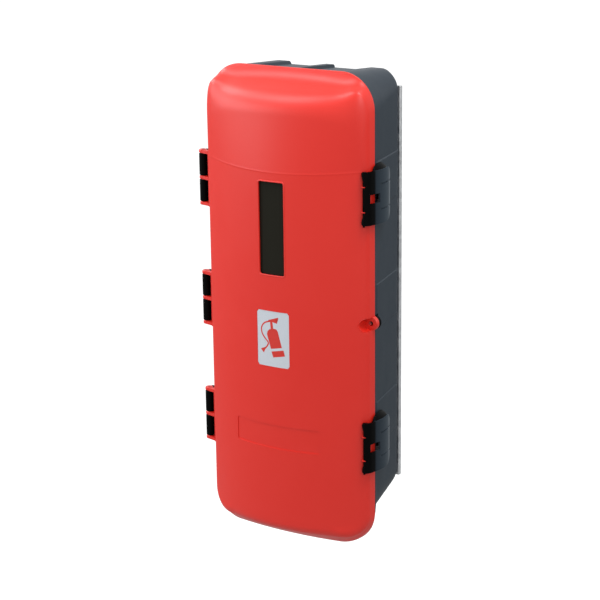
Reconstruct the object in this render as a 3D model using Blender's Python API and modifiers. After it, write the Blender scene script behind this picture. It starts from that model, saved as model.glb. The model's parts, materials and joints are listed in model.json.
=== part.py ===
"""Wall cabinet for a fire extinguisher: a moulded housing, a bowed door on three hinges and two latches.

Metres, +Z up. The door faces -Y. The origin is on the rear face of the mounting frame, on its middle crossbar.
"""
import math

import bmesh
import bpy
from mathutils import Matrix, Vector

# Door, driving sizes
DOOR_WIDTH = 0.310
DOOR_HEIGHT = 0.7985
DOOR_TOP = 0.395
DOOR_CORNER = 0.064
DOOR_DEPTH = 0.068
DOOR_WALL = 0.003
BOW_RADIUS = 0.277
RIM_EDGE = 0.004
SIDE_INSET = 0.0095
HOOD_INSET = 0.058
HOOD_CORNER = 0.046
FOOT_INSET = 0.031
HOOD_POWER = 6
CREASE_HEIGHT = 0.234
CREASE_LEAN = 0.055
SPINE_HALF = 0.245
# Sections from the rim to the face, in shares of inset and depth: three points of a hollow, three of the shoulder
HOOD_SECTION = ((0.02, 0.0), (0.31, 0.09), (0.466, 0.44), (0.57, 0.69), (0.67, 0.985), (1.0, 1.0))
SIDE_SECTION = ((0.0, 0.0), (0.034, 0.15), (0.067, 0.30), (0.095, 0.423), (0.168, 0.775), (1.0, 1.0))
FOOT_SECTION = ((0.0, 0.0), (0.0, 0.148), (0.14, 0.40), (0.339, 0.75), (0.468, 1.0), (1.0, 1.0))

# Housing, driving sizes
HOUSING_DEPTH = 0.126
HOUSING_WALL = 0.0035
HOUSING_CORNER = 0.062
HOUSING_REAR_CORNER = 0.032
HOUSING_FOOT_CORNER = 0.085
HOUSING_REAR_FOOT_CORNER = 0.040
HOUSING_SIDE_DRAFT = 0.0222
HOUSING_TOP_DRAFT = 0.0096
HOUSING_FOOT_DRAFT = 0.045
FOOT_STEP = 0.0085
HOUSING_REAR_ROUND = 0.014
RIM_STEP = 0.002
RIM_LIP = 0.004
PANEL_HALF = 0.0795
PANEL_DROP = 0.0032
PANEL_RAMP = 0.005
PANEL_START = 0.012
PANEL_COLUMNS = (PANEL_HALF, PANEL_HALF - PANEL_RAMP, 0.045, 0.015)
TOP_RIB_WIDTH = 0.018
TOP_RIB_HEIGHT = 0.0032
TOP_RIB_SINK = 0.0015

# Mounting frame behind the housing
RAIL_WIDTH = 0.026
RAIL_DEPTH = 0.008
RAIL_TOP_DROP = 0.039
RAIL_FOOT_RISE = 0.0785
RAIL_SPACING = 0.236
CROSSBAR_HEIGHT = 0.026
CROSSBAR_SPACING = 0.300

# Clearances
TOUCH = 0.0003
RIM_GAP = 0.0008
RUN_GAP = 0.0005

# Window, sign plate and label recess in the door
WINDOW_WIDTH = 0.048
WINDOW_HEIGHT = 0.1555
WINDOW_CENTRE = 0.1412
WINDOW_CORNER = 0.004
PANE_FLANGE = 0.006
PANE_THICKNESS = 0.0025
PANE_GAP = 0.0008
SIGN_WIDTH = 0.061
SIGN_HEIGHT = 0.095
SIGN_CENTRE = -0.0454
SIGN_THICKNESS = 0.0012
RECESS_DEPTH = 0.001
LABEL_WIDTH = 0.1606
LABEL_HEIGHT = 0.0407
LABEL_CENTRE = -0.2156

# Hinges on the left edge
HINGE_HEIGHT = 0.095
UPPER_HINGE_DROP = 0.197
LOWER_HINGE_RISE = 0.1815
BARREL_RADIUS = 0.007
BARREL_STANDOFF = 0.0192
HINGE_FRONT = 0.004
RED_KNUCKLE = 0.006
PIN_RADIUS = 0.0025
STRIP_THICKNESS = 0.002
STRIP_NEAR = 0.0062
STRIP_FAR = 0.0150
LEAF_THICKNESS = 0.0025
LEAF_NEAR = 0.010
LEAF_FAR = 0.030
NECK_HALF = 0.003

# Latches on the right edge
LATCH_HEIGHT = 0.090
LATCH_WALL = 0.003
LATCH_PIVOT_INSET = 0.0045
LATCH_PIVOT_LIFT = 0.0052
LATCH_BARREL = 0.0042
LATCH_PIN_RADIUS = 0.0018
LATCH_REACH = 0.039
LATCH_BULGE = 0.006
LATCH_ROUND = 0.014
LUG_SPACING = 0.041
LUG_THICKNESS = 0.0016
LUG_RADIUS = 0.0036
LUG_FOOT = 0.017
SLOT_HEIGHT = 0.015
CATCH_HEIGHT = 0.011
CATCH_WIDTH = 0.010
CATCH_RISE = 0.004
CATCH_BACK = 0.007

# Seal eyelets on the right edge
SEAL_INSET = 0.0035
SEAL_RADIUS = 0.012
SEAL_HOLE = 0.0042
DOOR_SEAL_THICKNESS = 0.008
HOUSING_SEAL_THICKNESS = 0.006
SEAL_NOTCH_DEPTH = 0.014

# Facets
ARC_STEPS = 6
TOP_STEPS = 8
SIDE_STEPS = 8
HOLLOW_STEPS = 3
SHOULDER_STEPS = 4
FACE_STEPS = 8
ROUND_SIDES = 24

# Places worked out from the sizes
HOUSING_REAR_Y = -(RAIL_DEPTH + TOUCH)
RIM_Y = HOUSING_REAR_Y - HOUSING_DEPTH
DOOR_Y = RIM_Y - RIM_GAP
DOOR_HALF = DOOR_WIDTH / 2
HOUSING_HALF = DOOR_HALF - RIM_STEP
HINGE_X = -(DOOR_HALF + BARREL_STANDOFF)
HINGE_Y = RIM_Y - HINGE_FRONT
DOOR_FOOT = DOOR_TOP - DOOR_HEIGHT
UPPER_CENTRE = DOOR_TOP - UPPER_HINGE_DROP
LOWER_CENTRE = DOOR_FOOT + LOWER_HINGE_RISE
MIDDLE_CENTRE = (UPPER_CENTRE + LOWER_CENTRE) / 2
HINGE_CENTRES = {"upper": UPPER_CENTRE, "middle": MIDDLE_CENTRE, "lower": LOWER_CENTRE}
LATCH_CENTRES = {"upper": UPPER_CENTRE, "lower": LOWER_CENTRE}
LATCH_PIVOT_X = DOOR_HALF - LATCH_PIVOT_INSET
SEAL_X = DOOR_HALF - SEAL_INSET

PARTS = "fire_extinguisher_cabinet"
CUTTERS = "cutters"


def clear_scene():
    for old in list(bpy.data.objects):
        bpy.data.objects.remove(old, do_unlink=True)
    for name in (PARTS, CUTTERS):
        collection = bpy.data.collections.new(name)
        bpy.context.scene.collection.children.link(collection)


def make_material(name, colour, roughness, metallic=0.0):
    material = bpy.data.materials.new(name)
    material.use_nodes = True
    shader = material.node_tree.nodes["Principled BSDF"]
    shader.inputs["Base Color"].default_value = (*colour, 1.0)
    shader.inputs["Roughness"].default_value = roughness
    shader.inputs["Metallic"].default_value = metallic
    material.diffuse_color = (*colour, 1.0)
    return material


def make_materials():
    return {
        "red": make_material("red_polyethylene", (0.70, 0.035, 0.022), 0.40),
        "grey": make_material("dark_grey_polyethylene", (0.07, 0.085, 0.10), 0.48),
        "black": make_material("black_nylon", (0.006, 0.006, 0.007), 0.42),
        "pane": make_material("smoked_pane", (0.020, 0.018, 0.014), 0.12),
        "sign": make_material("silver_sign_sheet", (0.55, 0.58, 0.62), 0.35),
        "steel": make_material("steel_pin", (0.45, 0.45, 0.46), 0.30, 1.0),
    }


def add_object(name, bm, material=None):
    """A mesh object from a bmesh; with no material it is a cutter."""
    mesh = bpy.data.meshes.new(name)
    bm.to_mesh(mesh)
    bm.free()
    obj = bpy.data.objects.new(name, mesh)
    if material is None:
        bpy.data.collections[CUTTERS].objects.link(obj)
        obj.hide_render = True
        obj.display_type = "WIRE"
    else:
        bpy.data.collections[PARTS].objects.link(obj)
        mesh.materials.append(material)
    return obj


def boolean(obj, other, operation):
    modifier = obj.modifiers.new(other.name, "BOOLEAN")
    modifier.operation = operation
    modifier.solver = "EXACT"
    modifier.object = other
    modifier.use_self = False


def solidify(obj, thickness, outward):
    modifier = obj.modifiers.new("wall", "SOLIDIFY")
    modifier.thickness = thickness
    modifier.offset = 1.0 if outward else -1.0


def bevel(obj, width, segments=2):
    modifier = obj.modifiers.new("edges", "BEVEL")
    modifier.width = width
    modifier.segments = segments
    modifier.limit_method = "ANGLE"
    modifier.angle_limit = math.radians(40)


def box(x0, x1, y0, y1, z0, z1):
    bm = bmesh.new()
    size = Matrix.Diagonal((x1 - x0, y1 - y0, z1 - z0, 1.0))
    centre = Matrix.Translation(((x0 + x1) / 2, (y0 + y1) / 2, (z0 + z1) / 2))
    bmesh.ops.create_cube(bm, size=1.0, matrix=centre @ size)
    return bm


def cylinder(centre, radius, length, axis="Z"):
    turn = Matrix.Identity(4) if axis == "Z" else Matrix.Rotation(math.pi / 2, 4, "X")
    bm = bmesh.new()
    bmesh.ops.create_cone(
        bm, cap_ends=True, segments=ROUND_SIDES, radius1=radius, radius2=radius, depth=length,
        matrix=Matrix.Translation(centre) @ turn)
    return bm


def prism(points, low, high, axis="Z"):
    """A flat outline, given as (x, y) for axis Z or as (x, z) for axis Y, drawn out along the axis."""
    bm = bmesh.new()
    place = (lambda p: (p[0], p[1], low)) if axis == "Z" else (lambda p: (p[0], low, p[1]))
    face = bm.faces.new([bm.verts.new(place(p)) for p in points])
    grown = bmesh.ops.extrude_face_region(bm, geom=[face])["geom"]
    step = Vector((0, 0, high - low)) if axis == "Z" else Vector((0, high - low, 0))
    bmesh.ops.translate(bm, verts=[g for g in grown if isinstance(g, bmesh.types.BMVert)], vec=step)
    bmesh.ops.recalc_face_normals(bm, faces=bm.faces)
    return bm


def rounded_rectangle(half_width, top, bottom, radii, top_steps, side_steps):
    """Points round a rectangle with top and foot radii as (x, z, normal x, normal z), from its upper right."""
    centres = ((1, 1), (-1, 1), (-1, -1), (1, -1))
    points = []
    for index, (sx, sz) in enumerate(centres):
        radius = radii[0] if sz > 0 else radii[1]
        cx = sx * (half_width - radius)
        cz = top - radius if sz > 0 else bottom + radius
        for step in range(ARC_STEPS + 1):
            angle = math.pi / 2 * (index + step / ARC_STEPS)
            nx, nz = math.cos(angle), math.sin(angle)
            points.append((cx + radius * nx, cz + radius * nz, nx, nz))
        steps = side_steps if index % 2 else top_steps
        nx, nz = round(math.cos(angle)), round(math.sin(angle))
        x, z = points[-1][:2]
        run = 2 * (half_width - radius) if index % 2 == 0 else top - bottom - sum(radii)
        for step in range(1, steps):
            travel = run * step / steps
            points.append((x - nz * travel, z + nx * travel, nx, nz))
    return points


def skin(rings):
    """An open surface through rings of as many points each."""
    bm = bmesh.new()
    rows = [[bm.verts.new(p) for p in ring] for ring in rings]
    for near, far in zip(rows, rows[1:]):
        for i, vert in enumerate(near):
            after = (i + 1) % len(near)
            bm.faces.new((vert, near[after], far[after], far[i]))
    return bm


def grid_patch(columns, rows, place):
    """An open surface of columns by rows, each corner put by place(column, row)."""
    bm = bmesh.new()
    verts = [[bm.verts.new(place(c, r)) for r in rows] for c in columns]
    for left, right in zip(verts, verts[1:]):
        for i in range(len(rows) - 1):
            bm.faces.new((left[i], right[i], right[i + 1], left[i + 1]))
    return bm


def face_front(bm):
    """Turn an open surface so that its middle faces -Y."""
    bm.normal_update()
    total = sum((f.normal.y * f.calc_area() for f in bm.faces))
    if total > 0:
        bmesh.ops.reverse_faces(bm, faces=bm.faces)


# The door's outer form

def face_depth(x, z):
    """How far the door's face stands in front of its rim: an upright bow, leaning back above the crease."""
    bow = BOW_RADIUS - math.sqrt(BOW_RADIUS ** 2 - x ** 2)
    lean = max(0.0, z - CREASE_HEIGHT) * CREASE_LEAN * (1 - (x / DOOR_HALF) ** 2)
    return DOOR_DEPTH - bow - lean


def curve_point(points, share):
    """A point on the quadratic curve through three control points."""
    a, b, c = points
    return tuple(a[k] * (1 - share) ** 2 + b[k] * 2 * share * (1 - share) + c[k] * share ** 2 for k in (0, 1))


def section_points(controls):
    """A section's points in shares of inset and depth: its hollow, then its shoulder."""
    hollow = [curve_point(controls[:3], step / HOLLOW_STEPS) for step in range(1, HOLLOW_STEPS + 1)]
    shoulder = [curve_point(controls[3:], step / SHOULDER_STEPS) for step in range(SHOULDER_STEPS + 1)]
    return hollow + shoulder


def door_rings():
    rim = rounded_rectangle(DOOR_HALF, DOOR_TOP, DOOR_FOOT, (DOOR_CORNER, DOOR_CORNER), TOP_STEPS, SIDE_STEPS)
    starts = rounded_rectangle(
        DOOR_HALF - SIDE_INSET, DOOR_TOP - HOOD_INSET, DOOR_FOOT, (HOOD_CORNER, DOOR_CORNER), TOP_STEPS, SIDE_STEPS)
    rings = [[(x, 0.0, z) for x, z, _, _ in rim], [(x, -RIM_EDGE, z) for x, z, _, _ in rim]]
    sections = []
    for index, (x, z, nx, nz) in enumerate(rim):
        if nz < 0 or z < DOOR_FOOT + DOOR_CORNER * 1.001:
            inset = SIDE_INSET + (FOOT_INSET - SIDE_INSET) * nz ** 2
            starts[index] = (x - nx * inset, z - nz * inset)
        above, below = max(0.0, nz) ** HOOD_POWER, max(0.0, -nz) ** 2
        u, w = starts[index][:2]
        rise = face_depth(u, w) - RIM_EDGE
        section = []
        for hood, side, foot in zip(*(section_points(c) for c in (HOOD_SECTION, SIDE_SECTION, FOOT_SECTION))):
            inset, depth = (hood[k] * above + foot[k] * below + side[k] * (1 - above - below) for k in (0, 1))
            section.append((x + (u - x) * inset, -RIM_EDGE - rise * depth, z + (w - z) * inset))
        sections.append(section)
    rings += [list(ring) for ring in zip(*sections)]
    for step in range(1, FACE_STEPS + 1):
        t = step / FACE_STEPS
        ring = []
        for start in starts:
            x = start[0] * (1 - t)
            z = start[1] * (1 - t) + max(-SPINE_HALF, min(SPINE_HALF, start[1])) * t
            ring.append((x, -face_depth(x, z), z))
        rings.append(ring)
    return rings


def face_patch(width, height, centre, offset):
    """A patch of the door's face, moved out by offset along Y."""
    columns = [width * (i / 8 - 0.5) for i in range(9)]
    rows = [centre + height * (i / 4 - 0.5) for i in range(5)]
    bm = grid_patch(columns, rows, lambda x, z: (x, DOOR_Y - face_depth(x, z) - offset, z))
    face_front(bm)
    return bm


def window_outline(grow):
    half_width = WINDOW_WIDTH / 2 + grow
    top = WINDOW_CENTRE + WINDOW_HEIGHT / 2 + grow
    bottom = WINDOW_CENTRE - WINDOW_HEIGHT / 2 - grow
    outline = rounded_rectangle(half_width, top, bottom, (WINDOW_CORNER, WINDOW_CORNER), 1, 1)
    return [(x, z) for x, z, _, _ in outline]


# The latch's path in plan, and what is cut for it

def latch_pivot_y():
    return DOOR_Y - face_depth(LATCH_PIVOT_X, 0.0) - LATCH_PIVOT_LIFT


def latch_path():
    """The latch's inner face in plan, from its pivot over the door's shoulder and back along the housing."""
    corner = face_depth(DOOR_HALF, 0.0)
    points = [
        (LATCH_PIVOT_X, latch_pivot_y() + LATCH_BARREL / 2),
        (DOOR_HALF + 0.0005, DOOR_Y - corner - 0.0050),
        (DOOR_HALF + 0.0030, DOOR_Y - corner - 0.0010),
        (DOOR_HALF + 0.0045, DOOR_Y - corner + 0.0070),
    ]
    steps = 8
    start_x, start_y = points[-1]
    end_y = RIM_Y + LATCH_REACH
    for step in range(1, steps + 1):
        t = step / steps
        bulge = LATCH_BULGE * math.sin(math.pi * min(1.0, 0.12 + 0.88 * t))
        x = start_x - 0.0015 * t + bulge - LATCH_BULGE * math.sin(math.pi * 0.12) * (1 - t)
        points.append((x, start_y + (end_y - start_y) * t))
    return points


def latch_bore(name, centre):
    """The cutter of the hole that a latch's pin runs in."""
    return add_object(
        name,
        cylinder((LATCH_PIVOT_X, latch_pivot_y(), centre), LATCH_PIN_RADIUS + TOUCH, LATCH_HEIGHT + 0.004))


def cut_lugs_and_slots(obj, centre, name):
    pivot_y = latch_pivot_y()
    for side in (-1, 1):
        middle = centre + side * LUG_SPACING / 2
        half = LUG_THICKNESS / 2 + RUN_GAP
        slit = add_object(
            f"{name}_slit_{side + 1}",
            box(LATCH_PIVOT_X - 0.010, LATCH_PIVOT_X + LUG_RADIUS + RUN_GAP * 2, pivot_y - 0.010,
                pivot_y + 0.012, middle - half, middle + half))
        boolean(obj, slit, "DIFFERENCE")
    slot = add_object(
        f"{name}_slot",
        box(DOOR_HALF - 0.002, DOOR_HALF + 0.030, DOOR_Y - 0.014, RIM_Y + 0.009,
            centre - SLOT_HEIGHT / 2, centre + SLOT_HEIGHT / 2))
    boolean(obj, slot, "DIFFERENCE")


# Pieces of the housing

def draft_share(y_back):
    """The share of the draft reached behind the rim, which starts with an upright lip."""
    return max(0.0, y_back - RIM_LIP) / (HOUSING_DEPTH - RIM_LIP)


def housing_half(y_back):
    return HOUSING_HALF - HOUSING_SIDE_DRAFT * draft_share(y_back)


def housing_top(y_back):
    return DOOR_TOP - RIM_STEP - HOUSING_TOP_DRAFT * draft_share(y_back)


def foot_step_share(y_back):
    """The share of the step reached behind the rim, where the foot draws in under the door."""
    return min(1.0, max(0.0, y_back - RIM_LIP) / (PANEL_START - RIM_LIP))


def housing_foot(y_back):
    return DOOR_FOOT + RIM_STEP + FOOT_STEP * foot_step_share(y_back) + HOUSING_FOOT_DRAFT * draft_share(y_back)


def housing_corners(y_back):
    """The radii of the housing's upper and lower corners."""
    share = draft_share(y_back)
    upper = HOUSING_CORNER - (HOUSING_CORNER - HOUSING_REAR_CORNER) * share
    grown = HOUSING_CORNER + (HOUSING_FOOT_CORNER - HOUSING_CORNER) * foot_step_share(y_back)
    return upper, grown - (HOUSING_FOOT_CORNER - HOUSING_REAR_FOOT_CORNER) * share


def housing_ring(y_back, inset):
    """One ring of the housing. The top is a panel set down between two rounded shoulders."""
    radii = [radius - inset for radius in housing_corners(y_back)]
    across = 2 * len(PANEL_COLUMNS)
    points = rounded_rectangle(
        housing_half(y_back) - inset, housing_top(y_back) - inset, housing_foot(y_back) + inset, radii,
        across + 1, SIDE_STEPS)
    columns = PANEL_COLUMNS + tuple(-x for x in reversed(PANEL_COLUMNS))
    for index, x in enumerate(columns, ARC_STEPS + 1):
        points[index] = (x, *points[index][1:])
    ring = []
    drop = PANEL_DROP * min(1.0, max(0.0, (y_back - PANEL_START) / PANEL_RAMP))
    for x, z, _, nz in points:
        sunk = min(1.0, max(0.0, (PANEL_HALF - abs(x)) / PANEL_RAMP)) if nz == 1 else 0.0
        ring.append((x, RIM_Y + y_back, z - drop * sunk))
    return ring


def build_housing_shell(mats):
    wall_end = HOUSING_DEPTH - HOUSING_REAR_ROUND
    starts = (0.0, RIM_LIP, PANEL_START, PANEL_START + PANEL_RAMP, wall_end)
    rings = [housing_ring(y, 0.0) for y in starts]
    for step in range(1, SHOULDER_STEPS + 1):
        angle = math.pi / 2 * step / SHOULDER_STEPS
        back = wall_end + HOUSING_REAR_ROUND * math.sin(angle)
        rings.append(housing_ring(back, HOUSING_REAR_ROUND * (1 - math.cos(angle))))
    bm = skin(rings)
    bm.verts.ensure_lookup_table()
    bm.faces.new(bm.verts[-len(rings[-1]):])
    bmesh.ops.recalc_face_normals(bm, faces=bm.faces)
    rear = bm.faces[:][-1]
    if rear.normal.y < 0:
        bmesh.ops.reverse_faces(bm, faces=bm.faces)
    shell = add_object("housing_shell", bm, mats["grey"])
    solidify(shell, HOUSING_WALL, outward=False)
    boolean(shell, top_rib(), "UNION")
    notch = add_object(
        "housing_seal_notch",
        cylinder((SEAL_X, RIM_Y, MIDDLE_CENTRE), SEAL_RADIUS + TOUCH, 2 * SEAL_NOTCH_DEPTH, "Y"))
    boolean(shell, notch, "DIFFERENCE")
    return shell


def top_rib():
    """A rib that runs from front to back in the middle of the top panel."""
    start, end = PANEL_START + PANEL_RAMP, HOUSING_DEPTH - HOUSING_REAR_ROUND / 2
    bm = box(-TOP_RIB_WIDTH / 2, TOP_RIB_WIDTH / 2, RIM_Y + start, RIM_Y + end, 0.0, 1.0)
    for vert in bm.verts:
        top = housing_top(vert.co.y - RIM_Y) - PANEL_DROP
        vert.co.z = top - TOP_RIB_SINK if vert.co.z < 0.5 else top + TOP_RIB_HEIGHT
    return add_object("top_rib", bm)


def build_mounting_frame(mats):
    """Two upright rails and three crossbars behind the housing; the wall meets their rear face."""
    half_rail = RAIL_WIDTH / 2
    rail_top, rail_foot = DOOR_TOP - RAIL_TOP_DROP, DOOR_FOOT + RAIL_FOOT_RISE
    for name, side in (("left", -1), ("right", 1)):
        x = side * RAIL_SPACING / 2
        rail = add_object(
            f"mounting_rail_{name}",
            box(x - half_rail, x + half_rail, -RAIL_DEPTH, 0.0, rail_foot, rail_top), mats["steel"])
        bevel(rail, 0.0015)
    reach = RAIL_SPACING / 2 - half_rail - TOUCH
    for name, step in (("upper", 1), ("middle", 0), ("lower", -1)):
        z = step * CROSSBAR_SPACING
        bar = add_object(
            f"mounting_crossbar_{name}",
            box(-reach, reach, -RAIL_DEPTH, 0.0, z - CROSSBAR_HEIGHT / 2, z + CROSSBAR_HEIGHT / 2),
            mats["steel"])
        bevel(bar, 0.0015)


def knuckle_spans():
    """The z spans of the three door knuckles and the two housing knuckles, about the hinge's centre."""
    half = HINGE_HEIGHT / 2
    red = [(-half, -half + RED_KNUCKLE), (-RED_KNUCKLE / 2, RED_KNUCKLE / 2), (half - RED_KNUCKLE, half)]
    black = [
        (red[0][1] + RUN_GAP, red[1][0] - RUN_GAP),
        (red[1][1] + RUN_GAP, red[2][0] - RUN_GAP),
    ]
    return red, black


def join_knuckles(obj, name, spans, centre, neck):
    """Join knuckles with their necks to a plate, then bore the pin hole."""
    for index, (low, high) in enumerate(spans):
        middle = centre + (low + high) / 2
        knuckle = add_object(
            f"{name}_knuckle_{index}", cylinder((HINGE_X, HINGE_Y, middle), BARREL_RADIUS, high - low))
        boolean(obj, knuckle, "UNION")
        arm = add_object(f"{name}_neck_{index}", prism(neck, centre + low, centre + high))
        boolean(obj, arm, "UNION")
    bore = add_object(
        f"{name}_bore",
        cylinder((HINGE_X, HINGE_Y, centre), PIN_RADIUS + TOUCH, HINGE_HEIGHT + 0.004))
    boolean(obj, bore, "DIFFERENCE")


def build_door_knuckles(mats, where, centre, red):
    """The door's half of a hinge: a strip on the door's side wall with three knuckles."""
    inner = -(DOOR_HALF + TOUCH)
    half = HINGE_HEIGHT / 2
    strip = add_object(
        f"door_knuckles_{where}",
        box(inner - STRIP_THICKNESS, inner, DOOR_Y - STRIP_FAR, DOOR_Y - STRIP_NEAR, centre - half, centre + half),
        mats["red"])
    neck = (
        (HINGE_X - NECK_HALF, HINGE_Y), (HINGE_X + NECK_HALF, HINGE_Y),
        (inner - STRIP_THICKNESS / 2, DOOR_Y - STRIP_NEAR - 0.001),
        (inner - STRIP_THICKNESS / 2, DOOR_Y - STRIP_FAR + 0.001),
        (HINGE_X - NECK_HALF - 0.001, HINGE_Y - NECK_HALF))
    join_knuckles(strip, f"door_{where}", red, centre, neck[::-1])
    return strip


def build_hinge_leaf(mats, where, centre, black):
    """The housing's half of a hinge: a plate on the side wall with two long knuckles."""
    half = HINGE_HEIGHT / 2
    near, far = LEAF_NEAR, LEAF_FAR
    outline = (
        (-(housing_half(near) + TOUCH), RIM_Y + near), (-(housing_half(far) + TOUCH), RIM_Y + far),
        (-(housing_half(far) + TOUCH + LEAF_THICKNESS), RIM_Y + far),
        (-(housing_half(near) + TOUCH + LEAF_THICKNESS), RIM_Y + near))
    leaf = add_object(f"hinge_leaf_{where}", prism(outline, centre - half, centre + half), mats["black"])
    edge = -(housing_half(near) + TOUCH + LEAF_THICKNESS / 2)
    neck = (
        (HINGE_X - NECK_HALF, HINGE_Y), (HINGE_X + NECK_HALF, HINGE_Y),
        (edge, RIM_Y + near + 0.001), (edge, RIM_Y + near + 0.007))
    join_knuckles(leaf, f"leaf_{where}", black, centre, neck)
    return leaf


def build_hinges(mats):
    red, black = knuckle_spans()
    for where, centre in HINGE_CENTRES.items():
        build_door_knuckles(mats, where, centre, red)
        build_hinge_leaf(mats, where, centre, black)
        add_object(
            f"hinge_pin_{where}",
            cylinder((HINGE_X, HINGE_Y, centre), PIN_RADIUS, HINGE_HEIGHT), mats["steel"])


# Pieces of the door

def build_door_shell(mats):
    bm = skin(door_rings())
    bmesh.ops.translate(bm, verts=bm.verts, vec=(0.0, DOOR_Y, 0.0))
    bmesh.ops.remove_doubles(bm, verts=bm.verts, dist=0.00002)
    face_front(bm)
    shell = add_object("door_shell", bm, mats["red"])
    solidify(shell, DOOR_WALL, outward=False)
    window = add_object(
        "window_cut", prism(window_outline(0.0), DOOR_Y - DOOR_DEPTH - 0.01, DOOR_Y - 0.02, "Y"))
    boolean(shell, window, "DIFFERENCE")
    for name, width, height, centre in (
            ("sign_recess", SIGN_WIDTH + 2 * TOUCH, SIGN_HEIGHT + 2 * TOUCH, SIGN_CENTRE),
            ("label_recess", LABEL_WIDTH, LABEL_HEIGHT, LABEL_CENTRE)):
        cut = add_object(name, face_patch(width, height, centre, -RECESS_DEPTH))
        solidify(cut, 0.006, outward=True)
        boolean(shell, cut, "DIFFERENCE")
    notch = add_object(
        "door_seal_notch",
        cylinder((SEAL_X, DOOR_Y - 0.020, MIDDLE_CENTRE), SEAL_RADIUS + TOUCH, 0.060, "Y"))
    boolean(shell, notch, "DIFFERENCE")
    for where, centre in LATCH_CENTRES.items():
        for side in (-1, 1):
            boolean(shell, latch_lug(where, centre + side * LUG_SPACING / 2, side), "UNION")
        boolean(shell, latch_bore(f"lug_{where}_bore", centre), "DIFFERENCE")
    return shell


def latch_lug(where, z, side):
    """A thin lug on the door's shoulder that carries the latch's pin."""
    x, y = LATCH_PIVOT_X, latch_pivot_y()
    points = []
    for step in range(9):
        angle = math.pi * (1.0 + step / 8)
        points.append((x + LUG_RADIUS * math.cos(angle), y + LUG_RADIUS * math.sin(angle)))
    points.append((DOOR_HALF - DOOR_WALL / 2, DOOR_Y - LUG_FOOT))
    points.append((x - LUG_RADIUS, DOOR_Y - face_depth(x - LUG_RADIUS, 0.0) + DOOR_WALL / 2))
    bm = prism(points, z - LUG_THICKNESS / 2, z + LUG_THICKNESS / 2)
    return add_object(f"latch_lug_{where}_{side + 1}", bm)


def build_window_pane(mats):
    bm = face_patch(
        WINDOW_WIDTH + 2 * PANE_FLANGE, WINDOW_HEIGHT + 2 * PANE_FLANGE, WINDOW_CENTRE, -(DOOR_WALL + PANE_GAP))
    pane = add_object("window_pane", bm, mats["pane"])
    solidify(pane, PANE_THICKNESS, outward=False)
    return pane


def build_sign_plate(mats):
    bm = face_patch(SIGN_WIDTH, SIGN_HEIGHT, SIGN_CENTRE, TOUCH - RECESS_DEPTH)
    plate = add_object("sign_plate", bm, mats["sign"])
    solidify(plate, SIGN_THICKNESS, outward=True)
    return plate


def build_seal_eyelets(mats):
    for name, y0, y1, mat in (
            ("door_seal_eyelet", DOOR_Y - DOOR_SEAL_THICKNESS, DOOR_Y, mats["red"]),
            ("housing_seal_eyelet", RIM_Y, RIM_Y + HOUSING_SEAL_THICKNESS, mats["black"])):
        ring = add_object(
            name, cylinder((SEAL_X, (y0 + y1) / 2, MIDDLE_CENTRE), SEAL_RADIUS, y1 - y0, "Y"), mat)
        bore = add_object(
            f"{name}_bore", cylinder((SEAL_X, (y0 + y1) / 2, MIDDLE_CENTRE), SEAL_HOLE, 0.03, "Y"))
        boolean(ring, bore, "DIFFERENCE")


# Latches

def latch_rows(share):
    """The latch's half height at a share of its path: its rear corners are rounded."""
    tail = max(0.0, share - 0.62) / 0.38
    return LATCH_HEIGHT / 2 - LATCH_ROUND * (1 - math.sqrt(max(0.0, 1 - tail ** 2)))


def build_latch_lever(mats, where, centre):
    path = latch_path()
    last = len(path) - 1
    rows = [-1.0, -0.75, -0.4, 0.0, 0.4, 0.75, 1.0]
    bm = grid_patch(
        range(len(path)), rows,
        lambda c, r: (path[c][0], path[c][1], centre + r * latch_rows(c / last)))
    bm.normal_update()
    if sum(f.normal.x * f.calc_area() for f in bm.faces) < 0:
        bmesh.ops.reverse_faces(bm, faces=bm.faces)
    lever = add_object(f"latch_lever_{where}", bm, mats["black"])
    solidify(lever, LATCH_WALL, outward=True)
    name = f"latch_{where}"
    barrel = add_object(
        f"{name}_barrel", cylinder((LATCH_PIVOT_X, latch_pivot_y(), centre), LATCH_BARREL, LATCH_HEIGHT))
    boolean(lever, barrel, "UNION")
    boolean(lever, latch_bore(f"{name}_bore", centre), "DIFFERENCE")
    cut_lugs_and_slots(lever, centre, name)
    return lever


def build_latches(mats):
    for where, centre in LATCH_CENTRES.items():
        build_latch_lever(mats, where, centre)
        add_object(
            f"latch_pin_{where}",
            cylinder((LATCH_PIVOT_X, latch_pivot_y(), centre), LATCH_PIN_RADIUS, LATCH_HEIGHT),
            mats["black"])
        near, far = CATCH_BACK, CATCH_BACK + CATCH_WIDTH
        outline = (
            (housing_half(near) + TOUCH, RIM_Y + near), (housing_half(near) + CATCH_RISE, RIM_Y + near),
            (housing_half(far) + CATCH_RISE, RIM_Y + far), (housing_half(far) + TOUCH, RIM_Y + far))
        add_object(
            f"latch_catch_{where}", prism(outline, centre - CATCH_HEIGHT / 2, centre + CATCH_HEIGHT / 2),
            mats["black"])


def main():
    clear_scene()
    mats = make_materials()
    build_housing_shell(mats)
    build_mounting_frame(mats)
    build_door_shell(mats)
    build_window_pane(mats)
    build_sign_plate(mats)
    build_hinges(mats)
    build_latches(mats)
    build_seal_eyelets(mats)


main()
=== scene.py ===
"""Looks of a wall cabinet for a fire extinguisher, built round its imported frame.

Metres, +Z up, with the door facing -Y and its hinges on the -X side.
"""

import json
import math

import bmesh
import bpy
import numpy as np
from bpy.props import FloatProperty, FloatVectorProperty, PointerProperty
from mathutils import Matrix, Vector


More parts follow.
